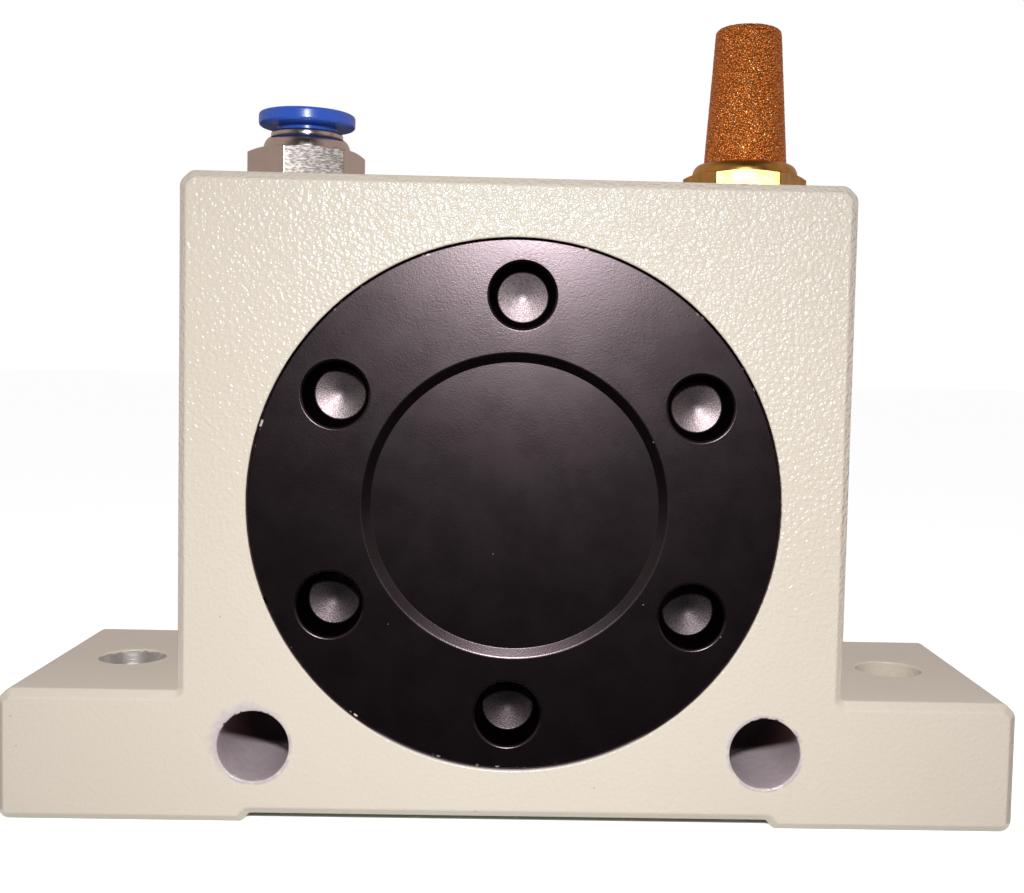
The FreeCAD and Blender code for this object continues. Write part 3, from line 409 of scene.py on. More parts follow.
def along(point, direction):
    """Place at a point whose local Z axis runs along a direction."""
    axis = Vector(direction).normalized()
    side = Vector((1, 0, 0)) if abs(axis.x) < 0.5 else Vector((0, 0, 1))
    across = axis.cross(side).normalized()
    turn = Matrix((across.cross(axis), across, axis)).transposed()
    return Matrix.Translation(point) @ turn.to_4x4()


def new_piece(name, bm):
    """Object from a bmesh, its normals pointing outwards."""
    bmesh.ops.recalc_face_normals(bm, faces=bm.faces)
    mesh = bpy.data.meshes.new(name)
    bm.to_mesh(mesh)
    bm.free()
    piece = bpy.data.objects.new(name, mesh)
    bpy.context.scene.collection.objects.link(piece)
    return piece


def turned_piece(name, profile, place, segments, closed=False):
    """Object spun from a profile."""
    bm = bmesh.new()
    turned(bm, profile, place, segments, closed)
    return new_piece(name, bm)


def carve(piece, tools, operation="DIFFERENCE"):
    """Cut the tools out of a piece, join them to it or keep what they share, and remove the tools."""
    for tool in tools:
        cut = piece.modifiers.new(tool.name, "BOOLEAN")
        cut.operation = operation
        cut.solver = "EXACT"
        cut.object = tool
    carved = bpy.data.meshes.new_from_object(piece.evaluated_get(bpy.context.evaluated_depsgraph_get()))
    if len(carved.polygons) < 3:
        raise RuntimeError(f"cutting {piece.name} left nothing")
    piece.modifiers.clear()
    old = piece.data
    piece.data = carved
    bpy.data.meshes.remove(old)
    for tool in tools:
        bpy.data.meshes.remove(tool.data)


def shade(piece, limit=SMOOTH_ANGLE):
    """Smooth shading with sharp edges above an angle, and flat faces kept flat."""
    bm = bmesh.new()
    bm.from_mesh(piece.data)
    for face in bm.faces:
        face.smooth = True
    for edge in bm.edges:
        edge.smooth = edge.calc_face_angle(0.0) < limit
    bm.to_mesh(piece.data)
    bm.free()
    normals = piece.modifiers.new("Flat faces", "WEIGHTED_NORMAL")
    normals.keep_sharp = True


def place_piece(piece, body, slot, material, *nodes):
    """Give a piece its finish and the body that it stands for, and hide the nodes that it stands for. The
    slot is not used.
    """
    piece.data.materials.clear()
    piece.data.materials.append(material)
    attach(piece, body)
    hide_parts(*nodes)


# Shader nodes

def add(tree, kind, inputs=None, **settings):
    """Node of a kind with its settings, and each input given a value or linked to an output."""
    node = tree.nodes.new(kind)
    for name, setting in settings.items():
        setattr(node, name, setting)
    for name, given in (inputs or {}).items():
        socket = node.inputs[name]
        if isinstance(given, bpy.types.NodeSocket):
            tree.links.new(given, socket)
        else:
            socket.default_value = given
    return node


def calc(tree, operation, first, second=0.0, third=0.0):
    """Output of a math node."""
    return add(tree, "ShaderNodeMath", {0: first, 1: second, 2: third}, operation=operation).outputs[0]


def vector_calc(tree, operation, first, second=(0, 0, 0)):
    """Output of a vector math node: its vector, or its value where the operation gives one."""
    node = add(tree, "ShaderNodeVectorMath", {0: first, 1: second}, operation=operation)
    return node.outputs["Value" if operation in ("DOT_PRODUCT", "LENGTH") else "Vector"]


def ramp(tree, value, low, high, to_low=0.0, to_high=1.0):
    """Value moved smoothly from one range to another."""
    return add(tree, "ShaderNodeMapRange", {
        "Value": value, "From Min": low, "From Max": high, "To Min": to_low, "To Max": to_high},
        interpolation_type="SMOOTHSTEP").outputs["Result"]


def blend(tree, share, first, second):
    """Colour mixed from two by a share."""
    return add(tree, "ShaderNodeMix", {0: share, 6: first, 7: second}, data_type="RGBA").outputs[2]


def between(tree, share, low, high):
    """Value between two by a share."""
    return ramp(tree, share, 0.0, 1.0, low, high)


def times(tree, first, *others):
    """Product of values."""
    for other in others:
        first = calc(tree, "MULTIPLY", first, other)
    return first


def highest(tree, first, *others):
    """Highest of values."""
    for other in others:
        first = calc(tree, "MAXIMUM", first, other)
    return first


def place_parts(tree):
    """Place across, deep and up in the piece's own frame, in metres."""
    place = add(tree, "ShaderNodeTexCoord").outputs["Object"]
    return add(tree, "ShaderNodeSeparateXYZ", {0: place}).outputs


def new_group(name, inputs, outputs):
    """Node group with float or vector inputs and float outputs; its tree, input node and output node."""
    tree = bpy.data.node_groups.new(name, "ShaderNodeTree")
    for label, default in inputs.items():
        kind = "NodeSocketFloat" if isinstance(default, (int, float)) else "NodeSocketVector"
        tree.interface.new_socket(label, in_out="INPUT", socket_type=kind).default_value = default
    for label in outputs:
        tree.interface.new_socket(label, in_out="OUTPUT", socket_type="NodeSocketFloat")
    return tree, tree.nodes.new("NodeGroupInput"), tree.nodes.new("NodeGroupOutput")


def grouped(tree, group, inputs):
    """A group placed in a tree with its own values."""
    return add(tree, "ShaderNodeGroup", inputs, node_tree=bpy.data.node_groups[group]).outputs


def make_grain_group():
    """Even grain: noise of a given grain size stretched to the full range."""
    tree, given, out = new_group("Grain", {
        "Size": 1.0, "Detail": 2.0, "Contrast": 0.5, "Stretch": (1.0, 1.0, 1.0)}, ["Value"])
    place = add(tree, "ShaderNodeTexCoord").outputs["Object"]
    stretched = add(tree, "ShaderNodeMapping", {"Vector": place, "Scale": given.outputs["Stretch"]})
    scale = calc(tree, "DIVIDE", 1.0 / MM, given.outputs["Size"])
    noise = add(tree, "ShaderNodeTexNoise", {
        "Vector": stretched.outputs["Vector"], "Scale": scale, "Detail": given.outputs["Detail"],
        "Roughness": 0.55})
    half = times(tree, given.outputs["Contrast"], 0.5)
    low, high = calc(tree, "SUBTRACT", 0.5, half), calc(tree, "ADD", 0.5, half)
    tree.links.new(ramp(tree, noise.outputs["Fac"], low, high), out.inputs["Value"])


def make_speck_group():
    """Scattered specks: cells of a given size, of which a share holds a speck."""
    tree, given, out = new_group(
        "Specks", {"Cell": 1.0, "Size": 0.3, "Share": 0.3}, ["Mask", "Dome", "Random"])
    place = add(tree, "ShaderNodeTexCoord").outputs["Object"]
    scale = calc(tree, "DIVIDE", 1.0 / MM, given.outputs["Cell"])
    cells = add(tree, "ShaderNodeTexVoronoi", {"Vector": place, "Scale": scale}, feature="F1")
    random_value = add(tree, "ShaderNodeSeparateColor", {"Color": cells.outputs["Color"]}).outputs["Red"]
    core = times(tree, given.outputs["Size"], 0.6)
    near = ramp(tree, cells.outputs["Distance"], core, given.outputs["Size"], 1.0, 0.0)
    chosen = calc(tree, "LESS_THAN", random_value, given.outputs["Share"])
    tree.links.new(times(tree, near, chosen), out.inputs["Mask"])
    tree.links.new(random_value, out.inputs["Random"])
    reach = calc(tree, "DIVIDE", cells.outputs["Distance"], given.outputs["Size"])
    dome = highest(tree, calc(tree, "SUBTRACT", 1.0, times(tree, reach, reach)), 0.0)
    tree.links.new(dome, out.inputs["Dome"])


def make_axis_group():
    """Distance from an axis and height along it, in metres."""
    tree, given, out = new_group(
        "Axis distance", {"Centre": (0, 0, 0), "Axis": (0, 0, 1)}, ["Radius", "Height"])
    place = add(tree, "ShaderNodeTexCoord").outputs["Object"]
    from_centre = vector_calc(tree, "SUBTRACT", place, given.outputs["Centre"])
    height = vector_calc(tree, "DOT_PRODUCT", from_centre, given.outputs["Axis"])
    up = add(tree, "ShaderNodeVectorMath", {0: given.outputs["Axis"], "Scale": height}, operation="SCALE")
    radius = vector_calc(tree, "LENGTH", vector_calc(tree, "SUBTRACT", from_centre, up.outputs["Vector"]))
    tree.links.new(radius, out.inputs["Radius"])
    tree.links.new(height, out.inputs["Height"])


def make_tool_mark_group():
    """Fine lines that a turning tool leaves along its run."""
    tree, given, out = new_group("Tool marks", {"Run": 0.0, "Pitch": 0.2}, ["Value"])
    pitches = calc(tree, "DIVIDE", given.outputs["Run"], times(tree, given.outputs["Pitch"], MM))
    lines = add(tree, "ShaderNodeTexNoise", {"W": pitches, "Scale": 1.0, "Detail": 3.0, "Roughness": 0.6},
                noise_dimensions="1D")
    tree.links.new(ramp(tree, lines.outputs["Fac"], 0.25, 0.75), out.inputs["Value"])


def grained(tree, size, detail, contrast, stretch=(1.0, 1.0, 1.0)):
    """Even grain of a size in millimetres."""
    return grouped(tree, "Grain", {
        "Size": size, "Detail": detail, "Contrast": contrast, "Stretch": stretch})["Value"]


def specks(tree, cell, size, share):
    """Outputs of specks in a share of cells, the cell in millimetres and the speck as part of it."""
    return grouped(tree, "Specks", {"Cell": cell, "Size": size, "Share": share})


def turned_marks(tree, centre, axis, pitch):
    """Tool marks round an axis, on faces and on walls."""
    place = grouped(tree, "Axis distance", {"Centre": centre, "Axis": axis})
    run = calc(tree, "ADD", place["Radius"], place["Height"])
    return grouped(tree, "Tool marks", {"Run": run, "Pitch": pitch})["Value"]


def make_bare_rim_group():
    """Mask of bare metal in a hole: the coat ends in a ragged line a little inside the rim."""
    tree, given, out = new_group("Bare rim", {
        "Rim centre": (0, 0, 0), "Outward": (0, 0, 1), "Radius": 5.0, "Start": 0.5, "Ragged": 0.6,
        "Depth": 24.0}, ["Mask", "Run"])
    place = grouped(tree, "Axis distance", {
        "Centre": given.outputs["Rim centre"], "Axis": given.outputs["Outward"]})
    radius = calc(tree, "DIVIDE", place["Radius"], MM)
    height = calc(tree, "DIVIDE", place["Height"], MM)
    run = calc(tree, "SUBTRACT", calc(tree, "SUBTRACT", given.outputs["Radius"], radius), height)
    coarse = grained(tree, size=1.1, detail=4.0, contrast=0.55)
    wander = times(tree, calc(tree, "SUBTRACT", coarse, 0.5), given.outputs["Ragged"])
    inside = calc(tree, "ADD", calc(tree, "SUBTRACT", run, given.outputs["Start"]), wander)
    inside = calc(tree, "MINIMUM", inside, run)
    at_rim = calc(tree, "LESS_THAN", radius, calc(tree, "ADD", given.outputs["Radius"], RIM_BAND))
    not_past = calc(tree, "LESS_THAN", times(tree, height, -1.0), given.outputs["Depth"])
    near = times(tree, at_rim, not_past)
    tree.links.new(times(tree, ramp(tree, inside, 0.0, COAT_END), near), out.inputs["Mask"])
    tree.links.new(times(tree, run, near), out.inputs["Run"])


def make_groups():
    """The shared effects, each made once."""
    make_grain_group()
    make_speck_group()
    make_axis_group()
    make_tool_mark_group()
    make_bare_rim_group()


def new_material(name, **constants):
    """Material with a principled shader; its tree and shader. Underscores stand for spaces."""
    material = bpy.data.materials.new(name)
    material.use_nodes = True
    tree = material.node_tree
    shader = tree.nodes["Principled BSDF"]
    for socket, value in constants.items():
        shader.inputs[socket.replace("_", " ")].default_value = value
    return material, tree, shader


def feed(tree, shader, **outputs):
    """Link outputs to a shader's sockets, which are named with underscores for spaces."""
    for socket, output in outputs.items():
        tree.links.new(output, shader.inputs[socket.replace("_", " ")])


def bump(tree, shader, height, depth):
    """Relief on a shader from a height of 0 to 1, its depth in millimetres."""
    relief = add(tree, "ShaderNodeBump", {"Height": height, "Distance": depth * MM})
    feed(tree, shader, Normal=relief.outputs["Normal"])


def finishes():
    """Colours of the finishes."""
    return bpy.context.scene.motor_finishes


def dimmed(tone, share):
    """Darker tone of a colour."""
    return tuple(share * part for part in tone[:3]) + (1.0,)


def peel_relief(tree, fine, topside):
    """Orange-peel skin: heavier towards the top and the right of the block, light on faces that look up."""
    sizes = bpy.context.scene.motor_housing
    across, _, up = place_parts(tree)
    peel = grained(tree, size=0.72, detail=1.0, contrast=0.6)
    skin = calc(tree, "ADD", peel, times(tree, fine, 0.10))
    heavier_up = ramp(tree, up, 0.6 * sizes.foot_height, 3.2 * sizes.foot_height, 0.3, 1.0)
    heavier_right = ramp(tree, across, -sizes.block_width / 2, sizes.block_width / 2, 1.05, 1.8)
    lighter_on_top = between(tree, topside, 1.0, 0.4)
    return times(tree, skin, times(tree, heavier_up, heavier_right, lighter_on_top))


def bare_holes(tree):
    """Masks of the bare metal in all holes and in the left foot hole, and the way into a hole in mm."""
    sizes = bpy.context.scene.motor_housing
    ease = sizes.rim_ease / MM
    seat = {"Radius": sizes.seat_radius / MM + ease, "Start": 0.6, "Ragged": 0.3}
    cross = {"Radius": CROSS_HOLE_RADIUS / MM + ease, "Start": 0.6, "Ragged": 2.6}
    foot = {"Radius": FOOT_HOLE_RADIUS / MM + ease, "Start": 0.7, "Ragged": 0.4}
    half_way = HALF_DEPTH / MM
    right_through = 2 * half_way - 2 * ease
    rims = [(foot, (-FOOT_HOLE_X, 0, sizes.foot_height), (0, 0, 1), half_way)]
    for face, reach in ((-1, right_through), (1, half_way)):
        outward = (0, face, 0)
        rims.append((seat, (0, face * HALF_DEPTH, AXIS_HEIGHT), outward, reach))
        for side in (-1, 1):
            rims.append((cross, (side * CROSS_HOLE_X, face * HALF_DEPTH, CROSS_HOLE_Z), outward, reach))
    placed = [grouped(tree, "Bare rim", {**edge, "Rim centre": centre, "Outward": outward, "Depth": reach})
              for edge, centre, outward, reach in rims]
    masks = [rim["Mask"] for rim in placed]
    bare = highest(tree, 0.0, *masks)
    run = highest(tree, 0.0, *(rim["Run"] for rim in placed))
    return bare, masks[0], run


def rubbed_coat(tree, uneven):
    """Mask of the rubbed coat: a spot beside the left cross hole and a thin lip round both."""
    sizes = bpy.context.scene.motor_housing
    across, _, up = place_parts(tree)
    centre = (-CROSS_HOLE_X - sizes.rub_shift, -HALF_DEPTH, CROSS_HOLE_Z + sizes.rub_shift)
    radius = grouped(tree, "Axis distance", {"Centre": centre, "Axis": (0, 1, 0)})["Radius"]
    radius = calc(tree, "ADD", radius, times(tree, uneven, sizes.rub_ragged))
    past_hole = calc(tree, "SUBTRACT", radius, CROSS_HOLE_RADIUS)
    spot = ramp(tree, past_hole, sizes.rub_inner, sizes.rub_outer, 0.75, 0.0)
    beside = calc(tree, "SUBTRACT", calc(tree, "ABSOLUTE", across), CROSS_HOLE_X)
    over = calc(tree, "SUBTRACT", up, CROSS_HOLE_Z)
    square = calc(tree, "ADD", times(tree, beside, beside), times(tree, over, over))
    past_rim = calc(tree, "SUBTRACT", calc(tree, "SQRT", square), CROSS_HOLE_RADIUS + sizes.rim_ease)
    from_rim = calc(tree, "ABSOLUTE", past_rim)
    lip = ramp(tree, from_rim, sizes.lip_inner, sizes.lip_outer, 1.0, 0.0)
    return highest(tree, spot, times(tree, lip, ramp(tree, uneven, 0.2, 0.6)))


def painted_hole_shade(tree, run):
    """Mask of painted shade in the cross holes: deep in, and further out along their upper side."""
    over = calc(tree, "SUBTRACT", place_parts(tree)["Z"], CROSS_HOLE_Z)
    raised = calc(tree, "DIVIDE", calc(tree, "ADD", over, CROSS_HOLE_RADIUS), 1.4 * CROSS_HOLE_RADIUS)
    deep_in = calc(tree, "DIVIDE", run, 0.85 * HALF_DEPTH / MM)
    return ramp(tree, calc(tree, "ADD", deep_in, raised), 0.92, 1.2)


def coat_material():
    """Cream powder coat with an orange-peel skin, bare metal inside the holes and at the cover seats."""
    colours = finishes()
    material, tree, shader = new_material(
        "cream_powder_coat", Specular_IOR_Level=0.42, Specular_Tint=colours.coat_sheen)
    fine = grained(tree, size=0.24, detail=2.0, contrast=0.6)
    cloud = grained(tree, size=26.0, detail=2.0, contrast=0.7)
    uneven = grained(tree, size=1.6, detail=4.0, contrast=0.6)
    grime = specks(tree, cell=6.5, size=0.04, share=0.4)["Mask"]
    facing = add(tree, "ShaderNodeNewGeometry").outputs["Normal"]
    facing_up = add(tree, "ShaderNodeSeparateXYZ", {0: facing}).outputs["Z"]
    topside = ramp(tree, facing_up, 0.6, 0.95)
    bare, reamed, run = bare_holes(tree)
    # Painted shade: the bare metal of the cross holes is darkened deep in and along their upper side.
    painted_deep_shade = painted_hole_shade(tree, run)

    coat = blend(tree, times(tree, cloud, 0.06), colours.coat, colours.coat_grime)
    coat = blend(tree, times(tree, grime, 0.6), coat, colours.coat_grime)
    coat = blend(tree, rubbed_coat(tree, uneven), coat, colours.coat_rub)
    # Faint uneven staining is real; the painted shade of the cross holes is mixed in with it.
    stain_and_shade = highest(tree, times(tree, uneven, 0.2), painted_deep_shade)
    metal = blend(tree, stain_and_shade, colours.bare, colours.bare_painted_shade)
    metal = blend(tree, reamed, metal, colours.reamed)
    shine = highest(tree, between(tree, painted_deep_shade, 0.3, 0.75), times(tree, reamed, 0.95))
    coat_roughness = between(tree, topside, between(tree, fine, 0.18, 0.24), 0.9)
    bare_roughness = between(tree, reamed, between(tree, painted_deep_shade, 0.46, 0.95), 0.36)
    feed(tree, shader, Base_Color=blend(tree, bare, coat, metal), Metallic=times(tree, bare, shine),
         Roughness=between(tree, bare, coat_roughness, bare_roughness))
    marks = grouped(tree, "Tool marks", {"Run": times(tree, run, MM), "Pitch": 0.16})["Value"]
    skin = peel_relief(tree, fine, topside)
    bump(tree, shader, between(tree, bare, skin, times(tree, marks, 0.12)), 0.085)
    return material


def anodised_material():
    """Satin black anodised aluminium with fine grain, dust specks and brighter spanner hole floors; the
    lower floors are darkened and the hole walls made an unreflecting black, both painted shade.
    """
    colours = finishes()
    sizes = bpy.context.scene.motor_covers
    material, tree, shader = new_material("black_anodised", IOR=1.72, Specular_Tint=colours.anodised_sheen)
    grain = grained(tree, size=0.2, detail=2.0, contrast=0.6)
    coarse = grained(tree, size=0.18, detail=2.0, contrast=0.4)
    cloud = grained(tree, size=5.0, detail=4.0, contrast=0.8)
    dust = specks(tree, cell=4.0, size=0.03, share=0.3)["Mask"]
    wear = specks(tree, cell=1.0, size=0.42, share=0.34)["Mask"]
    place = grouped(tree, "Axis distance", {"Centre": (0, 0, AXIS_HEIGHT), "Axis": (0, 1, 0)})
    up = grouped(tree, "Axis distance", {"Centre": (0, 0, AXIS_HEIGHT), "Axis": (0, 0, 1)})["Height"]

    depth = calc(tree, "SUBTRACT", COVER_FACE, calc(tree, "ABSOLUTE", place["Height"]))
    from_circle = calc(tree, "ABSOLUTE", calc(tree, "SUBTRACT", place["Radius"], sizes.hole_circle))
    on_circle = calc(tree, "LESS_THAN", from_circle, sizes.hole_mouth)
    # Painted shade: the walls of the spanner holes are made a black that reflects nothing.
    hole_wall_shade = times(tree, on_circle, ramp(tree, depth, sizes.wall_start, sizes.wall_full))
    floor_start = sizes.hole_depth - sizes.floor_ease
    floor = times(tree, ramp(tree, depth, floor_start, sizes.hole_depth - sizes.floor_edge), on_circle)
    at_edge = ramp(tree, place["Radius"], COVER_RADIUS - sizes.wear_width, COVER_RADIUS - sizes.wear_full)
    worn = times(tree, at_edge, ramp(tree, cloud, 0.55, 0.75), wear)
    # Painted shade: the floors of the lower spanner holes are darkened towards the bottom of the cover.
    lower_floor_shade = ramp(tree, up, -sizes.hole_circle, sizes.hole_circle, 0.55, 0.0)

    black = blend(tree, times(tree, dust, 0.8), colours.anodised, colours.dust)
    black = blend(tree, worn, black, colours.cover_wear)
    bright = blend(tree, coarse, dimmed(colours.hole_floor, 0.45), colours.hole_floor)
    bright = blend(tree, lower_floor_shade, bright, colours.anodised)
    roughness = between(tree, hole_wall_shade, between(tree, cloud, 0.26, 0.295), 1.0)
    feed(tree, shader, Base_Color=blend(tree, floor, black, bright), Metallic=highest(tree, floor, hole_wall_shade),
         Roughness=between(tree, floor, roughness, 0.40))
    bump(tree, shader, between(tree, floor, times(tree, grain, 0.28), times(tree, coarse, 0.4)), 0.02)
    return material


def plated_material():
    """Nickel plate over turned metal, with fine sparkling streaks."""
    colours = finishes()
    material, tree, shader = new_material("nickel_plate", Metallic=1.0)
    streaks = grained(tree, size=0.26, detail=3.0, contrast=0.5, stretch=(0.35, 0.35, 1.2))
    cloud = grained(tree, size=3.0, detail=2.0, contrast=0.7)
    feed(tree, shader, Base_Color=blend(tree, times(tree, cloud, 0.25), colours.nickel, colours.coat_grime),
         Roughness=between(tree, streaks, 0.17, 0.25))
    bump(tree, shader, streaks, 0.0022)
    return material


def plastic_material():
    """Blue moulded plastic with a glossy skin and faint flow marks."""
    plastic = finishes().plastic
    material, tree, shader = new_material("blue_plastic", Specular_IOR_Level=0.6)
    flow = grained(tree, size=2.2, detail=2.0, contrast=0.8)
    fine = grained(tree, size=0.18, detail=2.0, contrast=0.6)
    feed(tree, shader, Base_Color=blend(tree, times(tree, flow, 0.4), plastic, dimmed(plastic, 0.75)),
         Roughness=between(tree, fine, 0.20, 0.32))
    bump(tree, shader, fine, 0.004)
    return material


def brass_material():
    """Turned brass, slightly tarnished, with lathe marks round the silencer."""
    brass = finishes().brass
    material, tree, shader = new_material("turned_brass", Metallic=1.0)
    marks = turned_marks(tree, (SILENCER_X, 0, BLOCK_TOP), (0, 0, 1), 0.16)
    tarnish = grained(tree, size=2.4, detail=4.0, contrast=0.6)
    feed(tree, shader, Base_Color=blend(tree, times(tree, tarnish, 0.5), brass, dimmed(brass, 0.45)),
         Roughness=between(tree, tarnish, 0.22, 0.36))
    bump(tree, shader, marks, 0.006)
    return material


def bronze_material():
    """Sintered bronze: grains darkened towards their edges as painted shade between them, and a few
    brighter grains as painted glints.
    """
    colours = finishes()
    material, tree, shader = new_material("sintered_bronze", Metallic=0.8)
    grains = specks(tree, cell=0.40, size=0.75, share=1.1)
    # Painted glints: a share of the grains is brightened.
    painted_glints = specks(tree, cell=0.36, size=0.42, share=0.25)["Mask"]
    # Painted shade: each grain darkens towards its edge, in the hollows between the grains.
    tone = blend(tree, grains["Dome"], dimmed(colours.bronze, 0.5), colours.bronze)
    tone = blend(tree, times(tree, painted_glints, 0.9), tone, colours.bronze_painted_glint)
    feed(tree, shader, Base_Color=tone, Roughness=between(tree, grains["Random"], 0.28, 0.5))
    bump(tree, shader, grains["Dome"], 0.2)
    return material


def steel_material(name, pitch, low, high, centre=(0, 0, AXIS_HEIGHT), axis=(0, 1, 0)):
    """Turned or ground steel with tool marks of a pitch round an axis, its roughness from low to high."""
    steel = finishes().steel
    material, tree, shader = new_material(name, Metallic=1.0)
    marks = turned_marks(tree, centre, axis, pitch)
    cloud = grained(tree, size=4.0, detail=3.0, contrast=0.7)
    feed(tree, shader, Base_Color=blend(tree, times(tree, cloud, 0.5), steel, dimmed(steel, 0.7)),
         Roughness=between(tree, marks, low, high))
    bump(tree, shader, marks, 0.004)
    return material


def rubber_material():
    """Matt black seal rubber with a faint bloom."""
    colours = finishes()
    material, tree, shader = new_material("nitrile_rubber")
    bloom = grained(tree, size=1.2, detail=3.0, contrast=0.7)
    feed(tree, shader, Base_Color=blend(tree, times(tree, bloom, 0.12), colours.rubber, colours.dust),
         Roughness=between(tree, bloom, 0.5, 0.68))
    bump(tree, shader, bloom, 0.01)
    return material


# Pieces

def block_corners(sizes):
    """Anticlockwise corners of the block's outline, seen from the front, with their radii."""
    half_width = sizes.block_width / 2
    half_relief = sizes.relief_length / 2
    cut, sole, ease = sizes.corner_cut, sizes.sole_cut, sizes.corner_ease
    right = [
        (half_relief, sizes.relief_height, sizes.inside_radius),
        (half_relief + sizes.relief_height, 0, sizes.inside_radius),
        (HALF_LENGTH - sole, 0, ease), (HALF_LENGTH, sole, ease),
        (HALF_LENGTH, sizes.foot_height - cut, ease), (HALF_LENGTH - cut, sizes.foot_height, ease),
        (half_width, sizes.foot_height, sizes.inside_radius),
        (half_width, BLOCK_TOP - cut, ease), (half_width - cut, BLOCK_TOP, ease),
    ]
    return right + [(-x, z, radius) for x, z, radius in reversed(right)]


def build_block(sizes):
    """Coated block as an outline swept from front to rear with eased chamfers."""
    chamfer = sizes.edge_chamfer
    edge = rounded([
        (0, 0, 0), (0, HALF_DEPTH - chamfer, sizes.edge_ease), (chamfer, HALF_DEPTH, sizes.edge_ease),
        (2 * chamfer, HALF_DEPTH, 0)])[1:-1]
    section = [(point.x, -point.y) for point in reversed(edge)] + [(point.x, point.y) for point in edge]
    corners = block_corners(sizes)
    bm = bmesh.new()
    loops = []
    for distance, y in section:
        outline = rounded(inset(corners, distance), closed=True)
        loops.append([bm.verts.new((point.x, y, point.y)) for point in outline])
    for first, second in zip(loops, loops[1:]):
        bridge(bm, first, second)
    bm.faces.new(loops[0])
    bm.faces.new(loops[-1])
    return new_piece("housing_block", bm)


def eased_bore(name, place, radius, low, high, ease, segments):
    """Tool for a through hole whose rims at both heights are eased."""
    outer = radius + ease
    steps = [math.pi / 2 * step / EASE_STEPS for step in range(1, EASE_STEPS + 1)]
    profile = [Vector((0, low - OVERSHOOT)), Vector((outer, low - OVERSHOOT)), Vector((outer, low))]
    profile += [Vector((outer - ease * math.sin(t), low + ease - ease * math.cos(t))) for t in steps]
    profile += [Vector((outer - ease * math.sin(t), high - ease + ease * math.cos(t)))
                for t in reversed(steps)]
    profile += [Vector((outer, high)), Vector((outer, high + OVERSHOOT)), Vector((0, high + OVERSHOOT))]
    return turned_piece(name, profile, place, segments)


def through_holes(sizes):
    """Tools for the cover seats, the two cross holes and the two foot holes."""
    ease = sizes.rim_ease
    through = along((0, 0, AXIS_HEIGHT), (0, 1, 0))
    tools = [eased_bore(
        "seat_front", through, sizes.seat_radius, -HALF_DEPTH, HALF_DEPTH, ease, LARGE_RING)]
    for side in (-1, 1):
        cross = along((side * CROSS_HOLE_X, 0, CROSS_HOLE_Z), (0, 1, 0))
        foot = along((side * FOOT_HOLE_X, 0, 0), (0, 0, 1))
        tools.append(eased_bore(
            f"cross_hole_{side}", cross, CROSS_HOLE_RADIUS, -HALF_DEPTH, HALF_DEPTH, ease, HOLE_RING))
        tools.append(eased_bore(
            f"foot_hole_{side}", foot, FOOT_HOLE_RADIUS, 0, sizes.foot_height, ease, HOLE_RING))
    return tools


def seat_ledges(sizes):
    """Ring that stays between the two cover seats, with the rotor chamber inside it."""
    ledge = HALF_DEPTH - sizes.seat_depth
    outer = sizes.seat_radius + OVERLAP
    profile = [Vector(point) for point in (
        (sizes.chamber_radius, -ledge), (outer, -ledge), (outer, ledge), (sizes.chamber_radius, ledge))]
    through = along((0, 0, AXIS_HEIGHT), (0, 1, 0))
    return turned_piece("seat_ledges", profile, through, LARGE_RING, closed=True)


def air_ports(sizes):
    """Tools for the inlet and exhaust ports and their drillings into the chamber."""
    floor = BLOCK_TOP - sizes.port_depth
    above = BLOCK_TOP + OVERSHOOT
    drill_end = AXIS_HEIGHT + sizes.drill_end
    tools = []
    for name, x, radius in (
            ("inlet", INLET_X, sizes.nozzle_radius), ("exhaust", SILENCER_X, sizes.exhaust_radius)):
        profile = [Vector(point) for point in (
            (0, drill_end), (radius, drill_end), (radius, floor), (sizes.port_radius, floor),
            (sizes.port_radius, above), (0, above))]
        tools.append(turned_piece(f"{name}_port", profile, along((x, 0, 0), (0, 0, 1)), HOLE_RING))
    return tools


class MOTOR_OT_housing(bpy.types.Operator):
    """Build the coated block with its feet, seats, holes and ports"""

    bl_idname = "motor.housing"
    bl_label = "Coated Block"

    def execute(self, context):
        sizes = context.scene.motor_housing
        block = build_block(sizes)
        carve(block, through_holes(sizes))
        carve(block, [seat_ledges(sizes)], "UNION")
        carve(block, air_ports(sizes))
        shade(block)
        place_piece(block, "frame", "cream_powder_coat", coat_material(), "housing")
        return {"FINISHED"}


def cover_profile(sizes):
    """Half section of a cover from the middle of its recess round to the bearing pocket."""
    face = COVER_FACE
    inner = face - sizes.thickness
    recess = face - sizes.recess_depth
    pocket_floor = recess - sizes.web
    slope_end = sizes.recess_radius - sizes.recess_slope
    shares = [step / CROWN_STEPS for step in range(CROWN_STEPS)]
    crowned = [(share * slope_end, recess + sizes.recess_crown * (1 - share ** 2), 0) for share in shares]
    return rounded(crowned + [
        (slope_end, recess, sizes.recess_corner),
        (sizes.recess_radius, face, sizes.recess_ease),
        (COVER_RADIUS - sizes.edge_chamfer, face, sizes.edge_ease),
        (COVER_RADIUS, face - sizes.edge_chamfer, sizes.edge_ease),
        (COVER_RADIUS, inner, sizes.edge_ease),
        (sizes.boss_radius, inner, 0),
        (sizes.boss_radius, BOSS_END, 0),
        (sizes.pocket_radius, BOSS_END, 0),
        (sizes.pocket_radius, pocket_floor, 0),
        (0, pocket_floor, 0)])


def spanner_hole_profile(sizes):
    """Half section of the tool for a tapered spanner hole with a conical floor and a drill dimple."""
    face = COVER_FACE
    lip = sizes.hole_mouth + sizes.hole_ease
    lip_drop, lip_round = sizes.hole_ease / 3, 1.2 * sizes.hole_ease
    floor = face - sizes.hole_depth
    tip = floor - sizes.hole_tip
    return rounded([
        (0, face + OVERSHOOT, 0), (lip, face + OVERSHOOT, 0), (lip, face, 0),
        (sizes.hole_mouth, face - lip_drop, lip_round), (sizes.hole_floor, floor, sizes.floor_ease),
        (sizes.dimple_radius, tip, 0), (0, tip - sizes.dimple_depth, 0)])


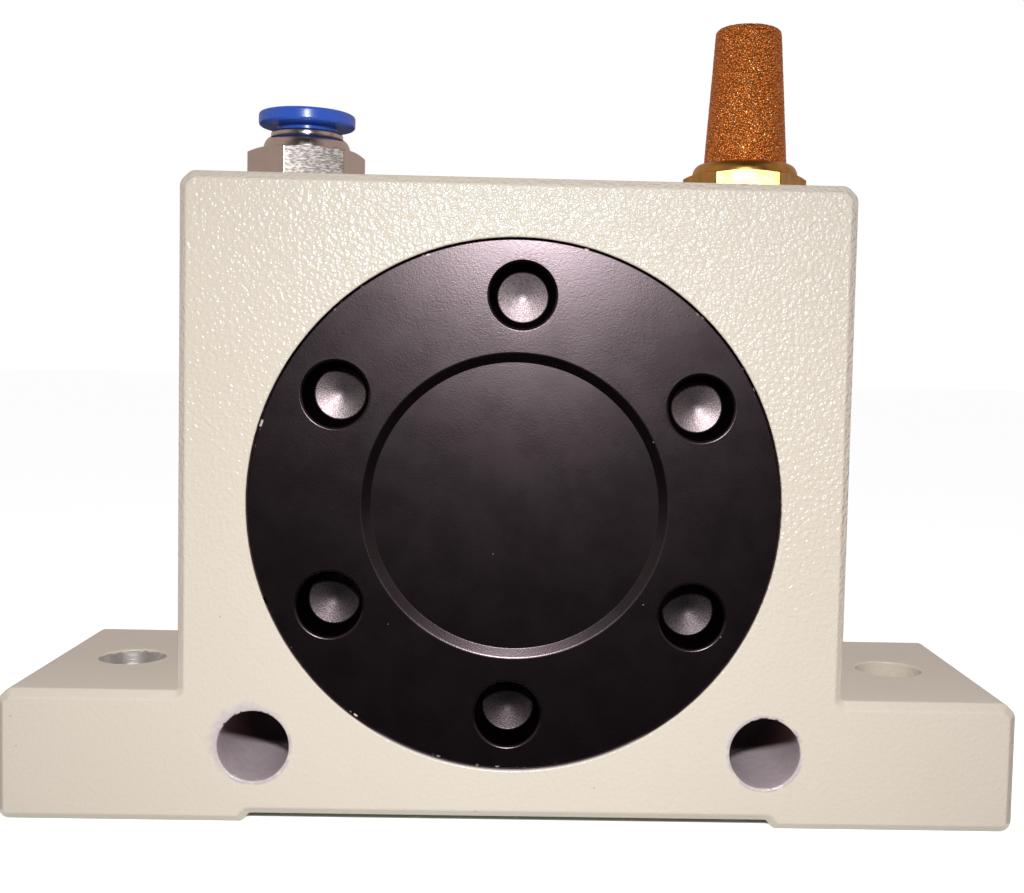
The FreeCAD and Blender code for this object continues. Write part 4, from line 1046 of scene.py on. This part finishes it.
def build_cover(sizes, side):
    """Screwed cover: turned body with spanner holes, facing the front (-1) or the rear (1)."""
    name = "front_cover_body" if side < 0 else "rear_cover_body"
    place = along((0, 0, AXIS_HEIGHT), (0, side, 0))
    cover = turned_piece(name, cover_profile(sizes), place, LARGE_RING)
    hole = spanner_hole_profile(sizes)
    bm = bmesh.new()
    for number in range(sizes.holes):
        turn = sizes.clocking + 2 * math.pi * number / sizes.holes
        offset = Vector((sizes.hole_circle * math.cos(turn), 0, sizes.hole_circle * math.sin(turn)))
        turned(bm, hole, Matrix.Translation(offset) @ place, HOLE_RING)
    carve(cover, [new_piece("spanner_holes", bm)])
    shade(cover)
    return cover


class MOTOR_OT_covers(bpy.types.Operator):
    """Build the two screwed covers with their spanner holes"""

    bl_idname = "motor.covers"
    bl_label = "Screwed Covers"

    def execute(self, context):
        sizes = context.scene.motor_covers
        material = anodised_material()
        for side, node in ((-1, "front_cover"), (1, "rear_cover")):
            place_piece(build_cover(sizes, side), "frame", "black_anodised", material, node)
        return {"FINISHED"}


def hexagon_body(name, profile, place, flats, turn, ease):
    """Turned body cut to a hexagon: only what lies inside the flats stays."""
    body = turned_piece(name, profile, place, LARGE_RING, closed=True)
    corner = flats / math.sqrt(3)
    turns = [turn + number * math.pi / 3 for number in range(6)]
    outline = rounded([(corner * math.cos(t), corner * math.sin(t), ease) for t in turns], closed=True)
    heights = [point.y for point in profile]
    bm = bmesh.new()
    loops = [[bm.verts.new(place @ Vector((point.x, point.y, height))) for point in outline]
             for height in (min(heights) - OVERSHOOT, max(heights) + OVERSHOOT)]
    bridge(bm, *loops)
    bm.faces.new(loops[0])
    bm.faces.new(loops[1])
    carve(body, [new_piece("hexagon_stock", bm)], "INTERSECT")
    shade(body)
    return body


def threaded(fitting, low, high):
    """Points up the outside of a shank with thread grooves."""
    radius, pitch = fitting.shank_radius, fitting.thread_pitch
    root = radius - fitting.thread_depth
    crest = THREAD_CREST * pitch
    points = []
    for turn in range(int((high - low) / pitch)):
        start = low + turn * pitch
        points += [(radius, start, 0), (radius, start + crest, 0),
                   (root, start + pitch / 2, 0), (radius, start + pitch - crest, 0)]
    return points


def fitting_foot(fitting, flats, hex_top, bore, bottom):
    """Points up the outside of a fitting, from its bore at the bottom to the bevel on its hexagon."""
    radius, chamfer = fitting.shank_radius, fitting.thread_chamfer
    corner = flats / math.sqrt(3) + OVERLAP
    bevel_drop = (corner - flats / 2 + fitting.crown_inset) * math.tan(fitting.bevel)
    shank = threaded(fitting, bottom + chamfer, BLOCK_TOP - fitting.thread_end)
    return [(bore, bottom, 0), (radius - chamfer, bottom, 0), *shank, (radius, BLOCK_TOP, 0),
            (corner, BLOCK_TOP, 0), (corner, hex_top - bevel_drop, 0)]


def quarter_arc(foot, tip, low, high):
    """Points of a quarter arc that rises from one radius and height to another, upright at its foot."""
    turns = [math.pi / 2 * step / ARC_STEPS for step in range(ARC_STEPS + 1)]
    return [(tip + (foot - tip) * math.cos(t), low + (high - low) * math.sin(t), 0) for t in turns]


def build_inlet_body(sizes, place):
    """Plated body of the inlet fitting: shank, hexagon, domed shoulder and the socket for the tube."""
    bottom = INLET_LOW.z
    hex_top = BLOCK_TOP + sizes.hexagon_height
    crown = sizes.flats / 2 - sizes.crown_inset
    rim = hex_top + sizes.cone_height
    socket, seat = bottom + sizes.socket_depth, bottom + sizes.seat_height
    profile = rounded([
        *fitting_foot(sizes, sizes.flats, hex_top, sizes.passage_radius, bottom),
        (crown, hex_top, sizes.small_ease),
        *quarter_arc(sizes.cone_radius, sizes.mouth_radius, hex_top, rim),
        (sizes.insert_bore, rim, 0), (sizes.insert_bore, socket, 0), (TUBE_BORE, socket, 0),
        (TUBE_BORE, seat, 0), (sizes.passage_radius, seat, 0)], closed=True)
    return hexagon_body("inlet_fitting_body", profile, place, sizes.flats, sizes.turn, sizes.flat_ease)


def build_guide_ring(sizes, place):
    """Guide ring with the bright rim at the mouth of the fitting."""
    low, high = GUIDE_LOW.z, GUIDE_HIGH.z
    outside = GUIDE_HIGH.x - INLET_X
    insert = sizes.insert_bore - sizes.insert_fit
    lip = sizes.collar_neck + sizes.fit
    rim_foot, lip_foot = high - sizes.guide_rim_height, high - sizes.guide_lip_height
    guide = turned_piece("inlet_guide_rim", rounded([
        (sizes.guide_wall_bore, low, 0), (insert, low, 0), (insert, rim_foot, 0),
        (outside, rim_foot, sizes.small_ease), (outside, high, sizes.guide_ease),
        (lip, high, sizes.small_ease), (lip, lip_foot, 0), (sizes.guide_wall_bore, lip_foot, 0)],
        closed=True), place, SMALL_RING, closed=True)
    shade(guide)
    return guide


def build_collar(sizes, place):
    """Release collar with its flange, neck and the bead that holds it in the guide ring."""
    low, high = COLLAR_LOW.z, COLLAR_HIGH.z
    flange = COLLAR_HIGH.x - INLET_X
    flange_foot = high - sizes.collar_flange_height
    bead_top = GUIDE_HIGH.z - sizes.guide_lip_height
    bead_foot = bead_top - sizes.collar_bead_height
    nose, neck, bead = sizes.collar_nose, sizes.collar_neck, sizes.collar_bead
    collar = turned_piece("release_collar_ring", rounded([
        (TUBE_BORE, low, 0), (nose, low, sizes.collar_nose_ease),
        (nose, bead_foot - sizes.collar_bead_lead, 0),
        (bead, bead_foot, 0), (bead, bead_top, 0), (neck, bead_top, 0),
        (neck, flange_foot, sizes.collar_neck_ease), (flange, flange_foot, sizes.collar_ease),
        (flange, high, sizes.collar_ease), (TUBE_BORE + sizes.collar_lead, high, sizes.collar_nose_ease),
        (TUBE_BORE, high - sizes.collar_lead, sizes.collar_lead_ease)], closed=True),
        place, SMALL_RING, closed=True)
    shade(collar)
    return collar


class MOTOR_OT_inlet(bpy.types.Operator):
    """Build the push-in inlet fitting: plated body, guide ring and release collar"""

    bl_idname = "motor.inlet"
    bl_label = "Inlet Fitting"

    def execute(self, context):
        sizes = context.scene.motor_inlet
        place = along((INLET_X, 0, 0), (0, 0, 1))
        plated = plated_material()
        place_piece(build_inlet_body(sizes, place), "frame", "nickel_plate", plated, "inlet_body")
        place_piece(build_guide_ring(sizes, place), "frame", "nickel_plate", plated, "inlet_guide_ring")
        place_piece(build_collar(sizes, place), "release_collar", "blue_plastic", plastic_material(),
                    "inlet_release_collar")
        return {"FINISHED"}


def build_silencer_body(sizes, fitting, place):
    """Brass body of the silencer: shank, hexagon, domed shoulder and the seat of the cone."""
    hex_top = BLOCK_TOP + sizes.hexagon_height
    crown = sizes.flats / 2 - fitting.crown_inset
    seat = hex_top + sizes.dome_height
    seat_floor = seat - sizes.spigot_height
    profile = rounded([
        *fitting_foot(fitting, sizes.flats, hex_top, sizes.bore_radius, SILENCER_LOW.z),
        *quarter_arc(crown, sizes.element_base + sizes.dome_land, hex_top, seat),
        (sizes.spigot_radius, seat, 0), (sizes.spigot_radius, seat_floor, 0),
        (sizes.bore_radius, seat_floor, 0)], closed=True)
    return hexagon_body("silencer_hexagon", profile, place, sizes.flats, sizes.turn, fitting.flat_ease)


def grain_places(sizes, place, foot, tip, count, chance):
    """Random places of the grains on the side and the end of the cone."""
    base, end = sizes.element_base, sizes.element_tip
    grains = KDTree(count)
    for number in range(count):
        height = chance.uniform(foot, tip + end / 2)
        turn = chance.uniform(0, 2 * math.pi)
        if height <= tip:
            radius = base + (end - base) * (height - foot) / (tip - foot)
        else:
            radius, height = end * math.sqrt(chance.random()), tip
        grains.insert(place @ Vector((radius * math.cos(turn), radius * math.sin(turn), height)), number)
    grains.balance()
    return grains


def build_element(sizes, place):
    """Sintered cone with its grains standing out of the surface."""
    foot, tip = ELEMENT_LOW.z + sizes.spigot_height, ELEMENT_HIGH.z
    step = sizes.grain / 3
    corners = rounded([
        (sizes.element_base, foot, 0), (sizes.element_tip, tip, sizes.element_ease), (step, tip, 0)])
    fine = [corners[0]]
    for first, second in zip(corners, corners[1:]):
        pieces = max(1, round((second - first).length / step))
        fine += [first.lerp(second, number / pieces) for number in range(1, pieces + 1)]
    skin = [Vector((0, foot)), Vector((sizes.element_base - OVERLAP, foot))] + fine + [Vector((0, tip))]
    bm = bmesh.new()
    turned(bm, skin, place, round(2 * math.pi * sizes.element_base / step))
    bmesh.ops.recalc_face_normals(bm, faces=bm.faces)
    bm.normal_update()
    chance = random.Random(sizes.grain_seed)
    area = sum(face.calc_area() for face in bm.faces)
    count = int(GRAIN_COVER * area / sizes.grain ** 2)
    grains = grain_places(sizes, place, foot, tip, count, chance)
    size_of = [chance.uniform(LEAST_GRAIN, 1.0) for number in range(count)]
    reach = GRAIN_REACH * sizes.grain
    moved = []
    for vertex in bm.verts:
        _, number, distance = grains.find(vertex.co)
        share = min(1.0, distance / reach)
        sunk = sizes.grain_relief * (1 - size_of[number] * math.sqrt(1 - share * share))
        moved.append((vertex, vertex.co - vertex.normal * sunk))
    for vertex, target in moved:
        if vertex.co.z > foot + step / 2:
            vertex.co = target
    cone = new_piece("silencer_cone", bm)
    shade(cone, math.pi)
    return cone


class MOTOR_OT_silencer(bpy.types.Operator):
    """Build the exhaust silencer: brass hexagon body and sintered cone"""

    bl_idname = "motor.silencer"
    bl_label = "Silencer"

    def execute(self, context):
        sizes = context.scene.motor_silencer
        place = along((SILENCER_X, 0, 0), (0, 0, 1))
        body = build_silencer_body(sizes, context.scene.motor_inlet, place)
        place_piece(body, "frame", "turned_brass", brass_material(), "silencer_body")
        cone = build_element(sizes, place)
        place_piece(cone, "frame", "sintered_bronze", bronze_material(), "silencer_element")
        return {"FINISHED"}


class MOTOR_OT_inner_pieces(bpy.types.Operator):
    """Give the rotor, shaft, bearings and seals inside the block their finishes"""

    bl_idname = "motor.inner_pieces"
    bl_label = "Inner Pieces"

    def execute(self, context):
        turned_steel = steel_material("turned_steel", 0.25, 0.28, 0.42)
        bearing_steel = steel_material("bearing_steel", 0.08, 0.10, 0.18)
        pressed_steel = steel_material("pressed_steel", 0.6, 0.30, 0.40)
        spring_steel = steel_material("spring_steel", 0.3, 0.22, 0.34, (INLET_X, 0, BLOCK_TOP), (0, 0, 1))
        machined = steel_material("machined_aluminium", 0.4, 0.26, 0.40)
        rubber = rubber_material()
        brass = bpy.data.materials["turned_brass"]
        finish = {
            "front_cover_seal": rubber, "rear_cover_seal": rubber, "inlet_tube_seal": rubber,
            "rotor": machined, "rotor_weights": turned_steel, "rotor_shaft": turned_steel,
            "rotor_key": turned_steel,
            "rotor_circlip": spring_steel, "bearing_shim": spring_steel, "inlet_grab_ring": spring_steel,
            "inlet_backing_ring": brass,
        }
        for side in ("front", "rear"):
            for piece in ("outer_ring", "inner_ring", "balls"):
                finish[f"{side}_bearing_{piece}"] = bearing_steel
            for piece in ("cage", "shields"):
                finish[f"{side}_bearing_{piece}"] = pressed_steel
        for name, node in frame["nodes"].items():
            if node.hide_render:
                continue
            node.data.materials.clear()
            node.data.materials.append(finish[name])
        return {"FINISHED"}


# Stage

def shown_rays(tree):
    """Share of rays that show the background: seen straight, in gloss or through glass."""
    path = add(tree, "ShaderNodeLightPath").outputs
    return highest(tree, path["Is Camera Ray"], path["Is Glossy Ray"], path["Is Transmission Ray"])


def glow_material(name):
    """Material that only glows; its tree and its emission node."""
    material, tree, shader = new_material(name)
    material.cycles.emission_sampling = "NONE"
    glow = add(tree, "ShaderNodeEmission")
    tree.links.new(glow.outputs["Emission"], tree.nodes["Material Output"].inputs["Surface"])
    tree.nodes.remove(shader)
    return material, tree, glow


def floor_material(stage):
    """Pale matt floor that fades into the white background and keeps the shadow; its glow is left out in a
    strip under the motor, which paints a shadow there.
    """
    material, tree, shader = new_material("pale_floor", Specular_IOR_Level=0.0, Roughness=0.9)
    material.cycles.emission_sampling = "NONE"
    shown = shown_rays(tree)
    feed(tree, shader, Base_Color=blend(tree, shown, stage.floor_bounce, stage.floor_colour))
    across, deep = (calc(tree, "ABSOLUTE", part) for part in place_parts(tree)[:2])
    # Painted shadow: the glow is left out under the motor, so the floor there reads dark.
    open_ends = ramp(tree, across, HALF_LENGTH - stage.shade_edge, HALF_LENGTH)
    open_sides = ramp(tree, deep, HALF_DEPTH - stage.shade_edge, HALF_DEPTH - 0.8 * stage.shade_edge)
    outside_painted_shadow = highest(tree, open_ends, open_sides)
    glow = add(tree, "ShaderNodeEmission", {"Strength": times(tree, shown, outside_painted_shadow, stage.floor_glow)})
    both = add(tree, "ShaderNodeAddShader", {0: shader.outputs["BSDF"], 1: glow.outputs["Emission"]})
    tree.links.new(both.outputs["Shader"], tree.nodes["Material Output"].inputs["Surface"])
    return material


def wall_material(stage):
    """Even studio wall, darker at the front and towards the ceiling."""
    material, tree, glow = glow_material("studio_wall")
    _, deep, up = place_parts(tree)
    front = ramp(tree, deep, -stage.wall_radius, -0.45 * stage.wall_radius, 1.0, 0.0)
    above = ramp(tree, up, 0.5 * stage.wall_height, stage.wall_height)
    tone = blend(tree, front, stage.wall_colour, stage.wall_front_colour)
    feed(tree, glow, Color=blend(tree, above, tone, stage.ceiling_colour))
    return material


def table_material(stage):
    """Dark table seen only in gloss."""
    material, _, glow = glow_material("dark_table")
    glow.inputs["Color"].default_value = stage.table_colour
    return material


def build_floor(stage):
    """Round floor."""
    bm = bmesh.new()
    bmesh.ops.create_circle(bm, cap_ends=True, segments=SMALL_RING, radius=stage.floor_radius)
    floor = new_piece("floor", bm)
    floor.data.materials.append(floor_material(stage))
    return floor


def build_wall(stage):
    """Round studio wall with its ceiling."""
    profile = [Vector((stage.wall_radius, 0)), Vector((stage.wall_radius, stage.wall_height)),
               Vector((0, stage.wall_height))]
    wall = turned_piece("studio_wall", profile, Matrix.Identity(4), SMALL_RING)
    wall.data.materials.append(wall_material(stage))
    return wall


def build_table(stage):
    """Dark table with an opening round the feet."""
    bm = bmesh.new()
    opening = (HALF_LENGTH + stage.table_gap, HALF_DEPTH + stage.table_gap)
    corners = ((-1, -1), (1, -1), (1, 1), (-1, 1))
    edges = [[bm.verts.new((x * across, y * deep, stage.table_lift)) for x, y in corners]
             for across, deep in (opening, (stage.wall_radius, stage.wall_radius))]
    bridge(bm, *edges)
    table = new_piece("dark_table", bm)
    table.data.materials.append(table_material(stage))
    return table


def new_sky(stage):
    """World of soft light, weaker from the front, low from behind, that shows white."""
    world = bpy.data.worlds.new("soft_surround")
    world.use_nodes = True
    tree = world.node_tree
    shown = shown_rays(tree)
    direction = add(tree, "ShaderNodeTexCoord").outputs["Generated"]
    _, deep, up = add(tree, "ShaderNodeSeparateXYZ", {0: direction}).outputs
    soft = ramp(tree, deep, -0.8, -0.2, stage.sky_front * stage.sky_strength, stage.sky_strength)
    behind = times(tree, ramp(tree, deep, -0.2, 0.3), ramp(tree, up, 0.15, 0.6, 1.0, 0.0))
    soft = calc(tree, "ADD", soft, times(tree, behind, stage.sky_behind))
    feed(tree, tree.nodes["Background"], Color=blend(tree, shown, stage.sky_colour, WHITE),
         Strength=between(tree, shown, soft, 1.0))
    world.cycles.sampling_method = "NONE"
    return world


def new_lamp(stage):
    """Small round lamp above the lens, aimed below the feet."""
    lamp = bpy.data.lights.new("flash_lamp", "AREA")
    lamp.shape = "DISK"
    lamp.spread = stage.flash_spread
    lamp.size = stage.flash_size
    lamp.energy = stage.flash_power
    lamp_object = bpy.data.objects.new("flash_lamp", lamp)
    lamp_object.location = stage.flash_place
    target = Vector((0, -HALF_DEPTH, -stage.flash_drop))
    lamp_object.rotation_euler = (target - Vector(stage.flash_place)).to_track_quat("-Z", "Y").to_euler()
    return lamp_object


def new_camera(stage):
    """Camera of the photograph."""
    camera = bpy.data.cameras.new("photo_camera")
    camera.sensor_width = SENSOR_WIDTH
    camera.lens = stage.camera_lens
    camera.shift_x, camera.shift_y = stage.camera_shift
    camera.clip_start = MM
    camera_object = bpy.data.objects.new("photo_camera", camera)
    camera_object.location = stage.camera_place
    upright = Matrix.Rotation(math.pi / 2, 4, "X")
    turn = (Matrix.Rotation(stage.camera_roll, 3, "Z") @ Matrix.Rotation(stage.camera_yaw, 3, "Y")
            @ Matrix.Rotation(stage.camera_pitch, 3, "X"))
    camera_object.rotation_euler = (turn.transposed().to_4x4() @ upright).to_euler()
    return camera_object


class MOTOR_OT_stage(bpy.types.Operator):
    """Set up the floor, the light and the camera"""

    bl_idname = "motor.stage"
    bl_label = "Stage"

    def execute(self, context):
        scene = context.scene
        stage = scene.motor_stage
        scene.view_settings.view_transform = "Standard"
        floor = build_floor(stage)
        wall = build_wall(stage)
        table = build_table(stage)
        for mirrored in (wall, table):
            mirrored.visible_camera = False
            mirrored.visible_diffuse = False
            mirrored.visible_shadow = False
        scene.world = new_sky(stage)
        scene.collection.objects.link(new_lamp(stage))
        scene.camera = new_camera(stage)
        scene.collection.objects.link(scene.camera)
        return {"FINISHED"}


class MOTOR_PT_pieces(bpy.types.Panel):
    """Lists the pieces of the motor"""

    bl_idname = "MOTOR_PT_pieces"
    bl_label = "Vibration Motor"
    bl_space_type = "VIEW_3D"
    bl_region_type = "UI"
    bl_category = "Motor"

    def draw(self, context):
        for operator in OPERATORS:
            self.layout.operator(operator.bl_idname)
        for group in SETTINGS:
            settings = getattr(context.scene, group)
            box = self.layout.box()
            for name in settings.__annotations__:
                box.prop(settings, name)


SETTINGS = {
    "motor_housing": MotorHousingSizes,
    "motor_covers": MotorCoverSizes,
    "motor_inlet": MotorInletSizes,
    "motor_silencer": MotorSilencerSizes,
    "motor_finishes": MotorFinishes,
    "motor_stage": MotorStage,
}
OPERATORS = (MOTOR_OT_housing, MOTOR_OT_covers, MOTOR_OT_inlet, MOTOR_OT_silencer, MOTOR_OT_inner_pieces,
             MOTOR_OT_stage)


def register():
    """Register the classes and hang the settings on the scene."""
    for group in (*SETTINGS.values(), *OPERATORS, MOTOR_PT_pieces):
        bpy.utils.register_class(group)
    for name, group in SETTINGS.items():
        setattr(bpy.types.Scene, name, bpy.props.PointerProperty(type=group))


def unregister():
    """Take the settings and classes away again."""
    for name in SETTINGS:
        delattr(bpy.types.Scene, name)
    for group in reversed((*SETTINGS.values(), *OPERATORS, MOTOR_PT_pieces)):
        bpy.utils.unregister_class(group)


def main():
    """Build every piece and the stage."""
    register()
    make_groups()
    bpy.ops.motor.housing()
    bpy.ops.motor.covers()
    bpy.ops.motor.inlet()
    bpy.ops.motor.silencer()
    bpy.ops.motor.inner_pieces()
    bpy.ops.motor.stage()


if __name__ == "__main__":
    main()
